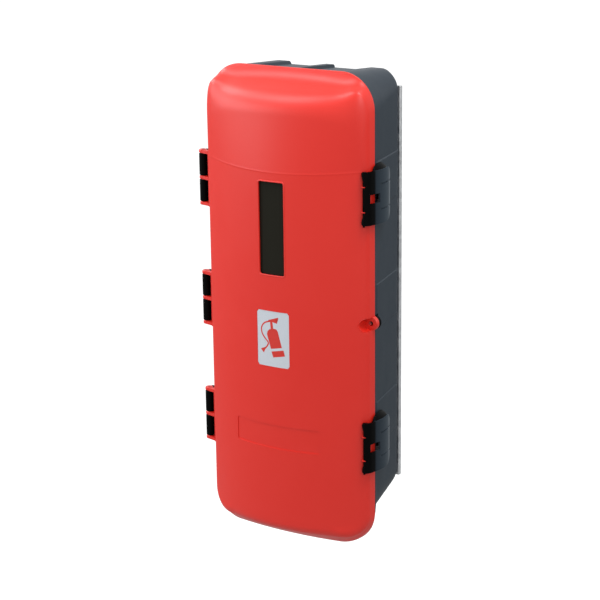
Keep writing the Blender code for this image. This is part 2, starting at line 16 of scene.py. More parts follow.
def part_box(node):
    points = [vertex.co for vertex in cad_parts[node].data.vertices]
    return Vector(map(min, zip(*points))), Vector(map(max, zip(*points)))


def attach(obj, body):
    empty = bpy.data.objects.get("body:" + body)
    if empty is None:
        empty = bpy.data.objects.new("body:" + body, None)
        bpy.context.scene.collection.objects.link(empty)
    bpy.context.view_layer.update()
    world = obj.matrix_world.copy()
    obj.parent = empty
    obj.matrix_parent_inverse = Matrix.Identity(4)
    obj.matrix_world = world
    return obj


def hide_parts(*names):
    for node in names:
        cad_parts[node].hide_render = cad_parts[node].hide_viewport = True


bl_info = {
    "name": "Fire extinguisher cabinet",
    "version": (1, 0, 0),
    "blender": (4, 5, 0),
    "location": "3D View > Sidebar > Cabinet",
    "description": "Moulded wall cabinet with a bowed door, three hinges and two lever latches",
    "category": "Object",
}

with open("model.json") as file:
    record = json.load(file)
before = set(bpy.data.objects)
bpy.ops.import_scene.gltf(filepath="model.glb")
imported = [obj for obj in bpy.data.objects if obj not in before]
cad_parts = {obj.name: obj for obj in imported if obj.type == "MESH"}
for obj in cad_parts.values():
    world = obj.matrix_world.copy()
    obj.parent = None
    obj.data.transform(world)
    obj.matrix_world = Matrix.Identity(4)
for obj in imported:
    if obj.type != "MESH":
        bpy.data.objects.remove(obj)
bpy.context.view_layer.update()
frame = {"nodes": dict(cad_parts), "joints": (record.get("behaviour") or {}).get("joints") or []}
NODES = frame["nodes"]
JOINTS = {joint["name"]: Vector(joint["pos_m"]) for joint in frame["joints"]}

# Places taken from the frame
HOUSING_LOW, HOUSING_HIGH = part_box("housing_shell")
DOOR_LOW, DOOR_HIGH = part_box("door_shell")
RIM_Y = HOUSING_LOW.y
REAR_Y = HOUSING_HIGH.y
DOOR_Y = DOOR_HIGH.y
DOOR_HALF = DOOR_HIGH.x
DOOR_TOP = DOOR_HIGH.z
DOOR_FOOT = DOOR_LOW.z
HINGE_AXIS = JOINTS["door_swing"]
LATCH_AXES = {"upper": JOINTS["upper_latch_swing"], "lower": JOINTS["lower_latch_swing"]}
HINGE_PLACES = ("upper", "middle", "lower")
HINGE_CENTRES = [sum(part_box(f"hinge_pin_{where}"), Vector()).z / 2 for where in HINGE_PLACES]
SEAL_MIDDLE = sum(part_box("housing_seal_eyelet"), Vector()) / 2
SEAL_RADIUS = (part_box("door_seal_eyelet")[1].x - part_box("door_seal_eyelet")[0].x) / 2

# Door form
RIM_EDGE = 0.004
DOOR_CORNER = 0.060
DOOR_FOOT_CORNER = 0.058
DOOR_WALL = 0.003
SIDE_INSET = 0.0095
HOOD_INSET = 0.072
FOOT_INSET = 0.040
HOOD_CORNER = 0.046
# Shares of inset and depth: three points of the hollow, then three of the shoulder
HOOD_SECTION = ((0.017, 0.0), (0.23, 0.085), (0.315, 0.33), (0.41, 0.57), (0.58, 1.0), (1.0, 1.0))
SIDE_SECTION = ((0.0, 0.0), (0.034, 0.15), (0.067, 0.30), (0.095, 0.423), (0.168, 0.775), (1.0, 1.0))
CORNER_SECTION = ((0.0, 0.0), (0.0, 0.24), (0.015, 0.46), (0.05, 0.68), (0.20, 0.97), (1.0, 1.0))
FOOT_SECTION = ((0.0, 0.0), (0.0, 0.25), (0.11, 0.445), (0.50, 0.86), (0.62, 0.99), (0.86, 1.0))
HOOD_POWER = 4
# Rows between these heights stay level from the rim to the face; beyond them they follow the corners
ROW_KEPT = 0.26
ROW_ENDS = (DOOR_TOP - DOOR_CORNER, DOOR_FOOT + DOOR_FOOT_CORNER)
CREASE_HEIGHT = 0.234
EDGE_RISE = 0.040
CREASE_RIDGE = 0.00022
CREASE_WIDTH = 0.0013
CREASE_BEND = 0.0022
CREASE_DIP = (0.006, 0.13)
RIM_SOFT = 0.0006
SPINE_HALF = 0.245
# Half width, top and bottom
WINDOW = (0.024, 0.219, 0.0634)
SIGN = (0.0305, 0.0021, -0.0929)
LABEL = (0.0803, -0.1953, -0.2359)
WINDOW_CORNER = 0.004
LIP_RADIUS = 0.0013
LIP_LIFT = -0.0004
PANE_MARGIN = 0.006
PANE_SUNK = 0.0038
PANE_THICKNESS = 0.0025
PANE_CORNER = 0.003
SIGN_CORNER = 0.003
SIGN_PLAY = 0.0003
SIGN_THICKNESS = 0.0006
LABEL_CORNER = 0.002
RECESS_DEPTH = 0.001
CUTTER_AHEAD = 0.005
SEAL_PLAY = 0.0003
SEAL_BORE = 0.0042

# Housing form
HOUSING_HALF = DOOR_HALF - 0.002
HOUSING_CORNER = 0.062
HOUSING_REAR_CORNER = 0.032
FOOT_CORNER = 0.085
REAR_FOOT_CORNER = 0.040
HOUSING_WALL = 0.0035
HOUSING_DEPTH = REAR_Y - RIM_Y
SIDE_DRAFT = 0.0222
TOP_DRAFT = 0.0096
FOOT_DRAFT = 0.045
FOOT_STEP = 0.010
RIM_LIP = 0.004
REAR_ROUND = 0.014
TOP_REAR_ROUND = 0.005
PANEL_START = 0.012
PANEL_FADE = 0.006
PANEL_HALF = 0.0795
PANEL_DROP = 0.0050
RIB_HALF = 0.0078
RIB_FLANK = 0.0010
BANDS = ((0.177, 0.2515), (-0.0245, 0.0495), (-0.229, -0.1525))
BAND_RISE = 0.0012
BAND_FLANK = 0.001
BAND_START = (0.004, 0.010)
BAND_END = (0.108, 0.120)

# Hinge and latch form
HINGE_HEIGHT = 0.095
BARREL_RADIUS = 0.007
RED_KNUCKLE = 0.006
RUN_GAP = 0.0005
LATCH_HEIGHT = 0.087
LATCH_LIFT = 0.0012
LATCH_ROUND = 0.014
PLATE_CORNER = 0.0032
LATCH_REACH = 0.039
CAP_CLIMB = 0.012
LUG_OFFSET = 0.0205
LUG_RADIUS = 0.0040
LUG_HALF = 0.0008
SLIT_HALF = 0.0013
SLOT_HALF = 0.0075
TONGUE_HALF = 0.0066
TONGUE_ROUND = 0.0016
WAIST_DEPTH = 0.0050
GRIP_RUN = 0.0535
GROOVE_DEPTH = 0.0021
EYE_RADIUS = 0.0017

# The sign's figure, in millimetres across and down from the sheet's top left corner
FIGURE_SHAPES = (
    ((19.2, 40.5), (20.5, 34.5), (24.5, 31.0), (31.5, 29.0), (37.5, 29.5), (40.2, 33.0), (47.6, 60.2),
     (26.6, 64.6)),
    ((27.6, 69.0), (50.4, 64.2), (53.2, 74.0), (30.8, 78.8)),
    ((25.6, 18.0), (30.0, 17.0), (31.6, 28.8), (26.8, 30.2)),
    ((22.0, 15.6), (41.0, 9.2), (41.6, 10.9), (31.0, 15.2), (39.4, 18.2), (38.8, 19.9), (30.2, 18.0),
     (23.0, 19.0)),
    ((6.2, 67.0), (17.4, 62.0), (12.2, 73.2)))
FIGURE_HOSE = ((24.5, 17.6), (16.5, 19.6), (9.6, 25.6), (7.6, 33.4), (9.8, 41.5), (15.6, 48.0), (21.4, 53.0),
               (21.6, 57.6), (15.0, 65.6))
HOSE_WIDTH = 2.4
PRINT_LIFT = 0.00022

# Stage: the camera fitted to the photograph, and each light's place, size and power
CAMERA_TURN = (31.938, 15.906, -0.753)
CAMERA_AIM = (0.178, -0.088)
CAMERA_DISTANCE = 3.0285
FOCAL_PIXELS = 1813.9
PICTURE_PIXELS = 600
SENSOR_WIDTH = 36.0
LIGHTS = (
    ("left_light", (-1.9, -1.5, 0.6), (1.9, 0.9), 22.0),
    ("high_left_light", (-1.7, -0.2, 1.3), (0.7, 0.7), 16.0),
    ("right_light", (2.6, -1.9, 1.5), (1.4, 1.4), 28.0),
    ("top_light", (1.0, -0.3, 2.0), (0.8, 0.8), 24.0))
FLOOR_HEIGHT = -1.3


# Colour and materials

def linear(code):
    """A linear colour from an sRGB hex value."""
    channels = [int(code[i:i + 2], 16) / 255 for i in (1, 3, 5)]
    return tuple(c / 12.92 if c <= 0.04045 else ((c + 0.055) / 1.055) ** 2.4 for c in channels) + (1.0,)


def fill(tree, node, inputs):
    """Link each input that is given as a socket and set the others."""
    for key, value in inputs.items():
        if isinstance(value, bpy.types.NodeSocket):
            tree.links.new(value, node.inputs[key])
        else:
            node.inputs[key].default_value = value
    return node


def add(tree, kind, inputs=None, **settings):
    """Add a node with its settings and inputs."""
    node = tree.nodes.new(kind)
    for key, value in settings.items():
        setattr(node, key, value)
    return fill(tree, node, inputs or {})


def start_material(name):
    """A new material, its tree, its shader and the place on the object."""
    material = bpy.data.materials.new(name)
    material.use_nodes = True
    tree = material.node_tree
    return material, tree, tree.nodes["Principled BSDF"], add(tree, "ShaderNodeTexCoord").outputs["Object"]


def noise(tree, place, size, detail=2.0):
    """Noise with features of about this size."""
    return add(tree, "ShaderNodeTexNoise", {
        "Vector": place, "Scale": 1 / size, "Detail": detail}).outputs["Fac"]


def ranged(tree, value, low, high, start=0.0, end=1.0):
    """Carry a value from the range start to end over to the range low to high."""
    return add(tree, "ShaderNodeMapRange", {
        "Value": value, "From Min": start, "From Max": end, "To Min": low, "To Max": high}).outputs["Result"]


def mixed(tree, share, first, second):
    """The colour at a share of the way from the first to the second."""
    node = add(tree, "ShaderNodeMix", {"Factor": share, "A": first, "B": second}, data_type="RGBA")
    return next(socket for socket in node.outputs if socket.type == "RGBA")


def grain(tree, place, size, depth, strength):
    """The normal of a fine moulded grain."""
    return add(tree, "ShaderNodeBump", {
        "Height": noise(tree, place, size), "Strength": strength, "Distance": depth}).outputs["Normal"]


def moulded_plastic(name, base, faded, roughness, grain_size, grain_depth, ior=1.50, specular=0.5):
    """Moulded plastic: a fine tool grain, slow colour drift and patchy gloss."""
    material, tree, shader, place = start_material(name)
    drift = ranged(tree, noise(tree, place, 0.16), 0.0, 0.35, 0.35, 0.75)
    fill(tree, shader, {
        "Base Color": mixed(tree, drift, linear(base), linear(faded)),
        "Roughness": ranged(tree, noise(tree, place, 0.035, 3.0), roughness - 0.05, roughness + 0.07),
        "Normal": grain(tree, place, grain_size, grain_depth, 0.35),
        "IOR": ior,
        "Specular IOR Level": specular})
    return material


def build_materials():
    """Every finish of the cabinet, by a short name."""
    return {
        # Moulded polyethylene: a satin skin in warm red with a soft highlight, and a grain of about 2 mm.
        "red": moulded_plastic(
            "red_polyethylene", "#d72112", "#db2c1d", 0.41, 0.0020, 0.00010, specular=0.56),
        # The same plastic in dark grey, drier and a little rougher.
        "grey": moulded_plastic(
            "dark_grey_polyethylene", "#29323a", "#303840", 0.46, 0.0018, 0.00012, specular=0.16),
        # Glass-filled nylon: black, with a dry sheen.
        "black": moulded_plastic("black_nylon", "#030303", "#070707", 0.46, 0.0014, 0.00006, 1.53, 0.04),
        "lever": lever_nylon(),
        "zinc": galvanised_steel(),
        "steel": drawn_steel(),
        "pane": smoked_polycarbonate(),
        "sheet": silver_sheet(),
        "ink": screen_ink()}


def lever_nylon():
    """Black nylon with painted light: a slate-grey painted reflection on the outer side, lighter towards the
    rear, and a painted highlight along the rear edge.
    """
    material, tree, shader, place = start_material("weathered_black_nylon")
    depth = add(tree, "ShaderNodeSeparateXYZ", {"Vector": place}).outputs["Y"]
    # Depth masks for the painted light: the outer side, more of it towards the rear, and a band at the rear
    # edge.
    side = ranged(tree, depth, 0.0, 1.0, DOOR_Y - 0.0150, DOOR_Y - 0.0105)
    rear = ranged(tree, depth, 0.0, 1.0, DOOR_Y - 0.010, RIM_Y + 0.030)
    edge = ranged(tree, depth, 0.0, 1.0, RIM_Y + 0.027, RIM_Y + 0.037)
    scuff_and_glint_noise = noise(tree, place, 0.010, 4.0)
    edge_highlight = add(tree, "ShaderNodeMath", {0: edge, 1: scuff_and_glint_noise}, operation="MULTIPLY").outputs["Value"]
    colour = linear("#020202")
    # The front stays black; the side gets a painted reflection, lighter towards the rear, and the rear edge a
    # painted highlight broken up by noise.
    for share, reached in ((side, "#262e35"), (rear, "#404950"), (edge_highlight, "#8d9296")):
        colour = mixed(tree, share, colour, linear(reached))
    fill(tree, shader, {
        "Base Color": colour,
        "Roughness": ranged(tree, scuff_and_glint_noise, 0.34, 0.52),
        "Normal": grain(tree, place, 0.0014, 0.00008, 0.3),
        "IOR": 1.53,
        "Specular IOR Level": 0.05})
    return material


def drawn_steel():
    """Drawn steel wire: bright, with fine scratches along its length."""
    material, tree, shader, place = start_material("drawn_steel")
    drawn = add(tree, "ShaderNodeMapping", {"Vector": place, "Scale": (1.0, 1.0, 0.02)}).outputs["Vector"]
    fill(tree, shader, {
        "Base Color": linear("#b9babb"),
        "Roughness": ranged(tree, noise(tree, drawn, 0.0008), 0.22, 0.42),
        "Metallic": 1.0})
    return material


def galvanised_steel():
    """Galvanised steel: pale grey zinc with a soft spangle of crystals about 8 mm across."""
    material, tree, shader, place = start_material("galvanised_steel")
    spangle = add(tree, "ShaderNodeTexVoronoi", {"Vector": place, "Scale": 1 / 0.008})
    tone = add(tree, "ShaderNodeSeparateColor", {"Color": spangle.outputs["Color"]})
    fill(tree, shader, {
        "Base Color": mixed(tree, tone.outputs["Red"], linear("#d6d8da"), linear("#e6e8e9")),
        "Roughness": ranged(tree, tone.outputs["Green"], 0.34, 0.52),
        "Metallic": 1.0})
    return material


def smoked_polycarbonate():
    """Extruded polycarbonate with a smoke tint: clear gloss over a near-black brown."""
    material, tree, shader, place = start_material("smoked_polycarbonate")
    fill(tree, shader, {
        "Base Color": linear("#23221c"),
        "Roughness": ranged(tree, noise(tree, place, 0.05, 1.0), 0.05, 0.12),
        "IOR": 1.58,
        "Specular IOR Level": 0.06})
    return material


def silver_sheet():
    """Silver-grey printed sheet: a fine pearl fleck under a satin film."""
    material, tree, shader, place = start_material("silver_film")
    fleck = add(tree, "ShaderNodeTexVoronoi", {"Vector": place, "Scale": 1 / 0.0011}).outputs["Distance"]
    fill(tree, shader, {
        "Base Color": mixed(tree, ranged(tree, fleck, 0.0, 1.0), linear("#c2c8ce"), linear("#cdd2d7")),
        "Roughness": 0.42,
        "Metallic": 0.15})
    return material


def screen_ink():
    """Screen-printed red ink: flat, with a slightly mottled film."""
    material, tree, shader, place = start_material("red_screen_ink")
    fill(tree, shader, {
        "Base Color": mixed(tree, noise(tree, place, 0.003, 3.0), linear("#c4281e"), linear("#cf3327")),
        "Roughness": 0.46})
    return material


# Mesh work

def new_object(name, data):
    obj = bpy.data.objects.new(name, data)
    bpy.context.scene.collection.objects.link(obj)
    return obj


def mesh_object(name, verts, faces):
    mesh = bpy.data.meshes.new(name)
    mesh.from_pydata([tuple(v) for v in verts], [], faces)
    return new_object(name, mesh)


def edit_mesh(obj, work):
    """Run work on the object's mesh as a bmesh."""
    bm = bmesh.new()
    bm.from_mesh(obj.data)
    work(bm)
    bm.to_mesh(obj.data)
    bm.free()
    obj.data.update()


def outward(bm):
    bmesh.ops.recalc_face_normals(bm, faces=bm.faces)


def solid(name, verts, faces):
    """A mesh object with its faces turned outwards."""
    obj = mesh_object(name, verts, faces)
    edit_mesh(obj, outward)
    return obj


def face_front(bm, seen):
    """Turn every face over where the seen normal points back."""
    if seen > 0:
        bmesh.ops.reverse_faces(bm, faces=bm.faces)


def merge(distance):
    return lambda bm: bmesh.ops.remove_doubles(bm, verts=bm.verts, dist=distance)


def skin(rings, closed_ring=True, caps=True):
    """Vertices and faces of a skin through rings of as many points each."""
    count = len(rings[0])
    verts = [p for ring in rings for p in ring]
    span = count if closed_ring else count - 1
    faces = []
    for row in range(len(rings) - 1):
        low, high = row * count, (row + 1) * count
        for i in range(span):
            after = (i + 1) % count
            faces.append((low + i, low + after, high + after, high + i))
    if caps:
        faces.append(tuple(range(count - 1, -1, -1)))
        faces.append(tuple(range((len(rings) - 1) * count, len(rings) * count)))
    return verts, faces


def settle(obj):
    """Replace the object's mesh by its evaluated one and drop its modifiers."""
    bpy.context.view_layer.update()
    depsgraph = bpy.context.evaluated_depsgraph_get()
    mesh = bpy.data.meshes.new_from_object(obj.evaluated_get(depsgraph))
    obj.modifiers.clear()
    old = obj.data
    obj.data = mesh
    mesh.name = obj.name
    bpy.data.meshes.remove(old)
    return obj


def cut(obj, cutters):
    """Take the cutters out of the object, one after another."""
    for cutter in cutters:
        modifier = obj.modifiers.new(cutter.name, "BOOLEAN")
        modifier.operation = "DIFFERENCE"
        modifier.solver = "EXACT"
        modifier.object = cutter
    settle(obj)
    for cutter in cutters:
        bpy.data.objects.remove(cutter, do_unlink=True)


def modify(obj, kind, **settings):
    """Apply a modifier with these settings."""
    modifier = obj.modifiers.new(kind, kind)
    for key, value in settings.items():
        setattr(modifier, key, value)
    return settle(obj)


def thicken(obj, thickness, offset=-1.0):
    return modify(obj, "SOLIDIFY", thickness=thickness, offset=offset)


def shade(obj, angle=35.0):
    obj.data.polygons.foreach_set("use_smooth", [True] * len(obj.data.polygons))
    obj.data.set_sharp_from_angle(angle=math.radians(angle))


def finish_piece(obj, body, material, replaced=()):
    """Give a piece its finish and body, and hide what it stands for."""
    obj.data.materials.clear()
    obj.data.materials.append(material)
    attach(obj, body)
    if replaced:
        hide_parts(*replaced)


def refinish(name, material, angle):
    """Give a solid that is carried over a better material through its slots."""
    node = NODES[name]
    node.data.materials.clear()
    node.data.materials.append(material)
    shade(node, angle)


def box_object(name, low, high):
    x0, y0, z0 = low
    x1, y1, z1 = high
    verts = [(x, y, z) for x in (x0, x1) for y in (y0, y1) for z in (z0, z1)]
    faces = [(0, 1, 3, 2), (4, 6, 7, 5), (0, 4, 5, 1), (2, 3, 7, 6), (0, 2, 6, 4), (1, 5, 7, 3)]
    return mesh_object(name, verts, faces)


def round_bar(name, centre, radius, length, axis="Z", edge=0.0, sides=64):
    """A round bar with softened ends, about its centre."""
    profile = [(radius - edge, -length / 2), (radius, -length / 2 + edge), (radius, length / 2 - edge),
               (radius - edge, length / 2)]
    if edge == 0.0:
        profile = profile[1:3]
    rings = []
    for r, along in profile:
        ring = []
        for step in range(sides):
            turn = 2 * math.pi * step / sides
            u, v = r * math.cos(turn), r * math.sin(turn)
            offset = {"X": (along, u, v), "Y": (u, along, v), "Z": (u, v, along)}[axis]
            ring.append(tuple(c + o for c, o in zip(centre, offset)))
        rings.append(ring)
    return solid(name, *skin(rings))


def bar_between(name, plan, low, high):
    """An upright bar of this plan between two heights."""
    return solid(name, *skin([[(x, y, z) for x, y in plan] for z in (low, high)]))


def join(name, parts):
    """Join meshes into one object."""
    bm = bmesh.new()
    for part in parts:
        bm.from_mesh(part.data)
    mesh = bpy.data.meshes.new(name)
    bm.to_mesh(mesh)
    bm.free()
    obj = new_object(name, mesh)
    for part in parts:
        bpy.data.objects.remove(part, do_unlink=True)
    return obj


def smooth_step(low, high, value):
    t = min(1.0, max(0.0, (value - low) / (high - low)))
    return t * t * (3 - 2 * t)


def outline(half, top, foot, radii, columns, rows, arc_steps):
    """Round a rectangle anticlockwise from its right side: (x, z, normal x, normal z).

    Columns are shares of the straight run, and rows are heights that move with the ends of the sides.
    """
    points = []
    high, low = top - radii[0], foot + radii[1]
    straight = (
        [(x * (half - radii[0]), top, 0.0, 1.0) for x in columns],
        [(-half, stretched(z, high, low), -1.0, 0.0) for z in rows],
        [(-x * (half - radii[1]), foot, 0.0, -1.0) for x in columns],
        [(half, stretched(z, high, low), 1.0, 0.0) for z in reversed(rows)])
    for index, (sx, sz) in enumerate(((1, 1), (-1, 1), (-1, -1), (1, -1))):
        radius = radii[0] if sz > 0 else radii[1]
        for step in range(arc_steps + 1):
            angle = math.pi / 2 * (index + step / arc_steps)
            nx, nz = math.cos(angle), math.sin(angle)
            centre = high if sz > 0 else low
            points.append((sx * (half - radius) + radius * nx, centre + radius * nz, nx, nz))
        points += straight[index]
    return points


def stretched(z, high, low):
    """A rim height moved so that the end of the rim's straight side meets another side's end."""
    if z > ROW_KEPT:
        return ROW_KEPT + (z - ROW_KEPT) * (high - ROW_KEPT) / (ROW_ENDS[0] - ROW_KEPT)
    if z < -ROW_KEPT:
        return -ROW_KEPT + (z + ROW_KEPT) * (low + ROW_KEPT) / (ROW_ENDS[1] + ROW_KEPT)
    return z


# Door form

def face_depth(x, z):
    """How far the door's face stands in front of its rim: an upright bow, leaning back above the crease."""
    size = bpy.context.scene.cabinet_sizes
    bow = size.bow_radius - math.sqrt(size.bow_radius ** 2 - x ** 2)
    above = z - (CREASE_HEIGHT + CREASE_DIP[0] * (x / CREASE_DIP[1]) ** 2)
    rise = above if above > 0.1 else CREASE_BEND * math.log1p(math.exp(above / CREASE_BEND))
    edge = (x / DOOR_HALF) ** 2
    lean = size.crease_lean * (1 - edge) - EDGE_RISE * edge
    ridge = CREASE_RIDGE * math.exp(-(above / CREASE_WIDTH) ** 2)
    return DOOR_Y - DOOR_LOW.y - bow - lean * rise + ridge


def along(points, share):
    """A point on a quadratic curve through three control points."""
    a, b, c = points
    return tuple(a[k] * (1 - share) ** 2 + b[k] * 2 * share * (1 - share) + c[k] * share ** 2 for k in (0, 1))


def section_curve(controls, steps):
    """Shares of inset and depth along a section: a hollow, a straight and a round shoulder."""
    hollow, shoulder = controls[:3], controls[3:]
    points = [along(hollow, step / steps) for step in range(1, steps + 1)]
    points += [tuple(hollow[2][k] * (1 - t) + shoulder[0][k] * t for k in (0, 1))
               for t in (step / 4 for step in range(1, 4))]
    return points + [along(shoulder, step / steps) for step in range(steps + 1)]


def door_rings():
    """Rings of the door's skin, from its rim over the shoulder to the middle of its face."""
    rows = {round(0.012 * i, 4) for i in range(-28, 28)}
    rows |= {round(CREASE_HEIGHT + 0.0008 * i, 4) for i in range(-6, 14)}
    rows = sorted(rows, reverse=True)
    columns = [0.97 * (1 - i / 12) for i in range(25)]
    rim = outline(DOOR_HALF, DOOR_TOP, DOOR_FOOT, (DOOR_CORNER, DOOR_FOOT_CORNER), columns, rows, 20)
    start = outline(DOOR_HALF - SIDE_INSET, DOOR_TOP - HOOD_INSET, DOOR_FOOT, (HOOD_CORNER, DOOR_FOOT_CORNER),
                    columns, rows, 20)
    sources = [section_curve(c, 12) for c in (HOOD_SECTION, CORNER_SECTION, FOOT_SECTION, SIDE_SECTION)]
    sections = []
    for index, (x, z, nx, nz) in enumerate(rim):
        above, below = max(0.0, nz) ** HOOD_POWER, max(0.0, -nz) ** 2
        corner = 4 * nx ** 2 * nz ** 2 * (1 - above) if nz > 0 else 0.0
        shares = (above, corner, below, 1 - above - corner - below)
        if nz < 0:
            inset = SIDE_INSET + (FOOT_INSET - SIDE_INSET) * below
            start[index] = (x - nx * inset, z - nz * inset, nx, nz)
        u, w = start[index][:2]
        deep = face_depth(u, w)
        section = [(x - nx * RIM_SOFT, z - nz * RIM_SOFT, 0.0), (x, z, 0.0008), (x, z, RIM_EDGE)]
        for given in zip(*sources):
            inset, rise = (sum(point[k] * share for point, share in zip(given, shares)) for k in (0, 1))
            section.append((x + (u - x) * inset, z + (w - z) * inset, RIM_EDGE + (deep - RIM_EDGE) * rise))
        sections.append(section)
    rings = []
    for level in range(len(sections[0])):
        rings.append([(s[level][0], DOOR_Y - s[level][2], s[level][1]) for s in sections])
    for step in range(1, 31):
        t = step / 30
        ring = []
        for x, z, _, _ in start:
            u = x * (1 - t)
            w = z * (1 - t) + max(-SPINE_HALF, min(SPINE_HALF, z)) * t
            ring.append((u, DOOR_Y - face_depth(u, w), w))
        rings.append(ring)
    return rings


def face_slab(name, half, top, bottom, offset, thickness, corner):
    """A slab with rounded corners that follows the door's face, its front moved out by offset."""
    count = 25
    middle, reach = (top + bottom) / 2, (top - bottom) / 2
    front = []
    for level in range(count):
        z = bottom + (top - bottom) * level / (count - 1)
        short = max(0.0, abs(z - middle) - (reach - corner))
        side = half - corner + math.sqrt(max(0.0, corner ** 2 - short ** 2))
        row = [side * (2 * i / (count - 1) - 1) for i in range(count)]
        front.append([(x, DOOR_Y - face_depth(x, z) - offset, z) for x in row])
    verts, faces = skin(front, closed_ring=False, caps=False)
    back = [(x, y + thickness, z) for x, y, z in verts]
    behind = len(verts)
    edge = list(range(count))
    edge += [count * r + count - 1 for r in range(1, count)]
    edge += [count * (count - 1) + c for c in range(count - 2, -1, -1)]
    edge += [count * r for r in range(count - 2, 0, -1)]
    sides = [(a, b, b + behind, a + behind) for a, b in zip(edge, edge[1:] + edge[:1])]
    rear = [tuple(i + behind for i in face[::-1]) for face in faces]
    return solid(name, verts + back, faces + rear + sides)


def widened(field, margin):
    """A field's half width, top and bottom with a margin all round."""
    half, top, bottom = field
    return half + margin, top + margin, bottom - margin


def window_path(grow, arc_steps=6):
    """The window's outline on the door, moved out by grow."""
    half, top, bottom = WINDOW
    middle = (top + bottom) / 2
    rows = [(top - bottom) / 2 * (1 - i / 12) * 0.9 for i in range(25)]
    reach, radius = (top - bottom) / 2 + grow, WINDOW_CORNER + grow
    columns = [0.9 * (1 - i / 4) for i in range(9)]
    points = outline(half + grow, reach, -reach, (radius, radius), columns, rows, arc_steps)
    return [(x, z + middle, nx, nz) for x, z, nx, nz in points]


def window_cutter():
    rings = [[(x, y, z) for x, z, _, _ in window_path(0.0)] for y in (DOOR_LOW.y - 0.01, DOOR_Y - 0.02)]
    return solid("window_cutter", *skin(rings))


def swept_bead(name, path, radius, lift, sides=10):
    """A round bead along a closed path on the door's face."""
    rings = []
    for x, z, nx, nz in path:
        base = Vector((x, DOOR_Y - face_depth(x, z) - lift, z))
        across = Vector((nx, 0.0, nz))
        ring = []
        for step in range(sides):
            turn = 2 * math.pi * step / sides
            out = Vector((0, -1, 0)) * radius * math.sin(turn)
            ring.append(base + across * radius * math.cos(turn) + out)
        rings.append(ring)
    rings.append(rings[0])
    obj = mesh_object(name, *skin(rings, caps=False))
    edit_mesh(obj, merge(1e-6))
    edit_mesh(obj, outward)
    return obj


# Housing form

def draft_share(back):
    return max(0.0, back - RIM_LIP) / (HOUSING_DEPTH - RIM_LIP)


def housing_half(back):
    return HOUSING_HALF - SIDE_DRAFT * draft_share(back)


def band_rise(z, back):
    """The three shallow raised bands across each side."""
    total = sum(sign * smooth_step(edge - BAND_FLANK, edge + BAND_FLANK, z)
                for band in BANDS for edge, sign in zip(band, (1, -1)))
    return BAND_RISE * total * smooth_step(*BAND_START, back) * (1 - smooth_step(*BAND_END, back))


def top_relief(x, back):
    """The top panel lies below its two shoulders and has a rib in the middle."""
    fade = smooth_step(PANEL_START, PANEL_START + PANEL_FADE, back)
    sunk = 1 - smooth_step(PANEL_HALF - 0.004, PANEL_HALF, abs(x))
    rib = 1 - smooth_step(RIB_HALF - RIB_FLANK, RIB_HALF + RIB_FLANK, abs(x))
    return fade * PANEL_DROP * (rib - sunk)


def rounding(back, radius):
    """How far an edge of this radius has turned in at a depth behind the rim."""
    past = min(radius, max(0.0, back - (HOUSING_DEPTH - radius)))
    return radius - math.sqrt(radius ** 2 - past ** 2)


def housing_ring(back, inset, bands=True):
    """The housing's outline at a depth behind the rim, moved in by inset."""
    share = draft_share(back)
    step = min(1.0, max(0.0, back - RIM_LIP) / (PANEL_START - RIM_LIP))
    top = HOUSING_HIGH.z - TOP_DRAFT * share
    foot = HOUSING_LOW.z + FOOT_STEP * step + FOOT_DRAFT * share
    top_radius = HOUSING_CORNER - (HOUSING_CORNER - HOUSING_REAR_CORNER) * share
    foot_radius = HOUSING_CORNER + (FOOT_CORNER - HOUSING_CORNER) * step
    foot_radius -= (FOOT_CORNER - REAR_FOOT_CORNER) * share
    radii = (top_radius, foot_radius)
    half = housing_half(back)
    run = half - radii[0]
    columns = [PANEL_HALF + 0.0002 - 0.001 * i for i in range(5)] + [0.06, 0.04, 0.02]
    columns += [RIB_HALF + aside for aside in (0.0014, 0.0008, 0.0, -0.0008, -0.0014, -0.0048)]
    columns = [x / run for x in columns + [-x for x in reversed(columns)]]
    rows = {round(0.02 * i, 4) for i in range(-15, 16)}
    for low, high in BANDS:
        for edge in (low, high):
            rows |= {round(edge + step * 0.0005, 4) for step in range(-3, 4)}
    ring = []
    for x, z, nx, nz in outline(half, top, foot, radii, columns, sorted(rows, reverse=True), 16):
        rise = band_rise(z, back) if bands and abs(nx) > 0.999 else 0.0
        relief = top_relief(x, back) if nz > 0.999 else 0.0
        spared = (rounding(back, REAR_ROUND) - rounding(back, TOP_REAR_ROUND)) * max(0.0, nz) ** 4
        ring.append((x + nx * (rise - inset + spared), RIM_Y + back, z + relief - nz * (inset - spared)))
    return ring


def housing_rings():
    """Rings from the rear of the outside, over the rim, to the rear of the inside."""
    backs = [RIM_LIP, 0.006, 0.008, 0.010, *(PANEL_START + PANEL_FADE * i / 4 for i in range(5))]
    wall_end = HOUSING_DEPTH - REAR_ROUND
    last = backs[-1]
    backs += [last + (wall_end - last) * i / 12 for i in range(1, 13)]
    outside = [housing_ring(0.0, RIM_SOFT), housing_ring(RIM_SOFT, 0.0)]
    outside += [housing_ring(back, 0.0) for back in backs]
    inside = [housing_ring(0.0, HOUSING_WALL - RIM_SOFT), housing_ring(RIM_SOFT, HOUSING_WALL)]
    inside += [housing_ring(back, HOUSING_WALL, bands=False) for back in backs]
    for step in range(1, 13):
        angle = math.pi / 2 * step / 12
        turn, rise = math.sin(angle), 1 - math.cos(angle)
        inner = REAR_ROUND - HOUSING_WALL
        outside.append(housing_ring(wall_end + REAR_ROUND * turn, REAR_ROUND * rise))
        inside.append(housing_ring(wall_end + inner * turn, HOUSING_WALL + inner * rise, bands=False))
    return outside[::-1] + inside


# Latch form

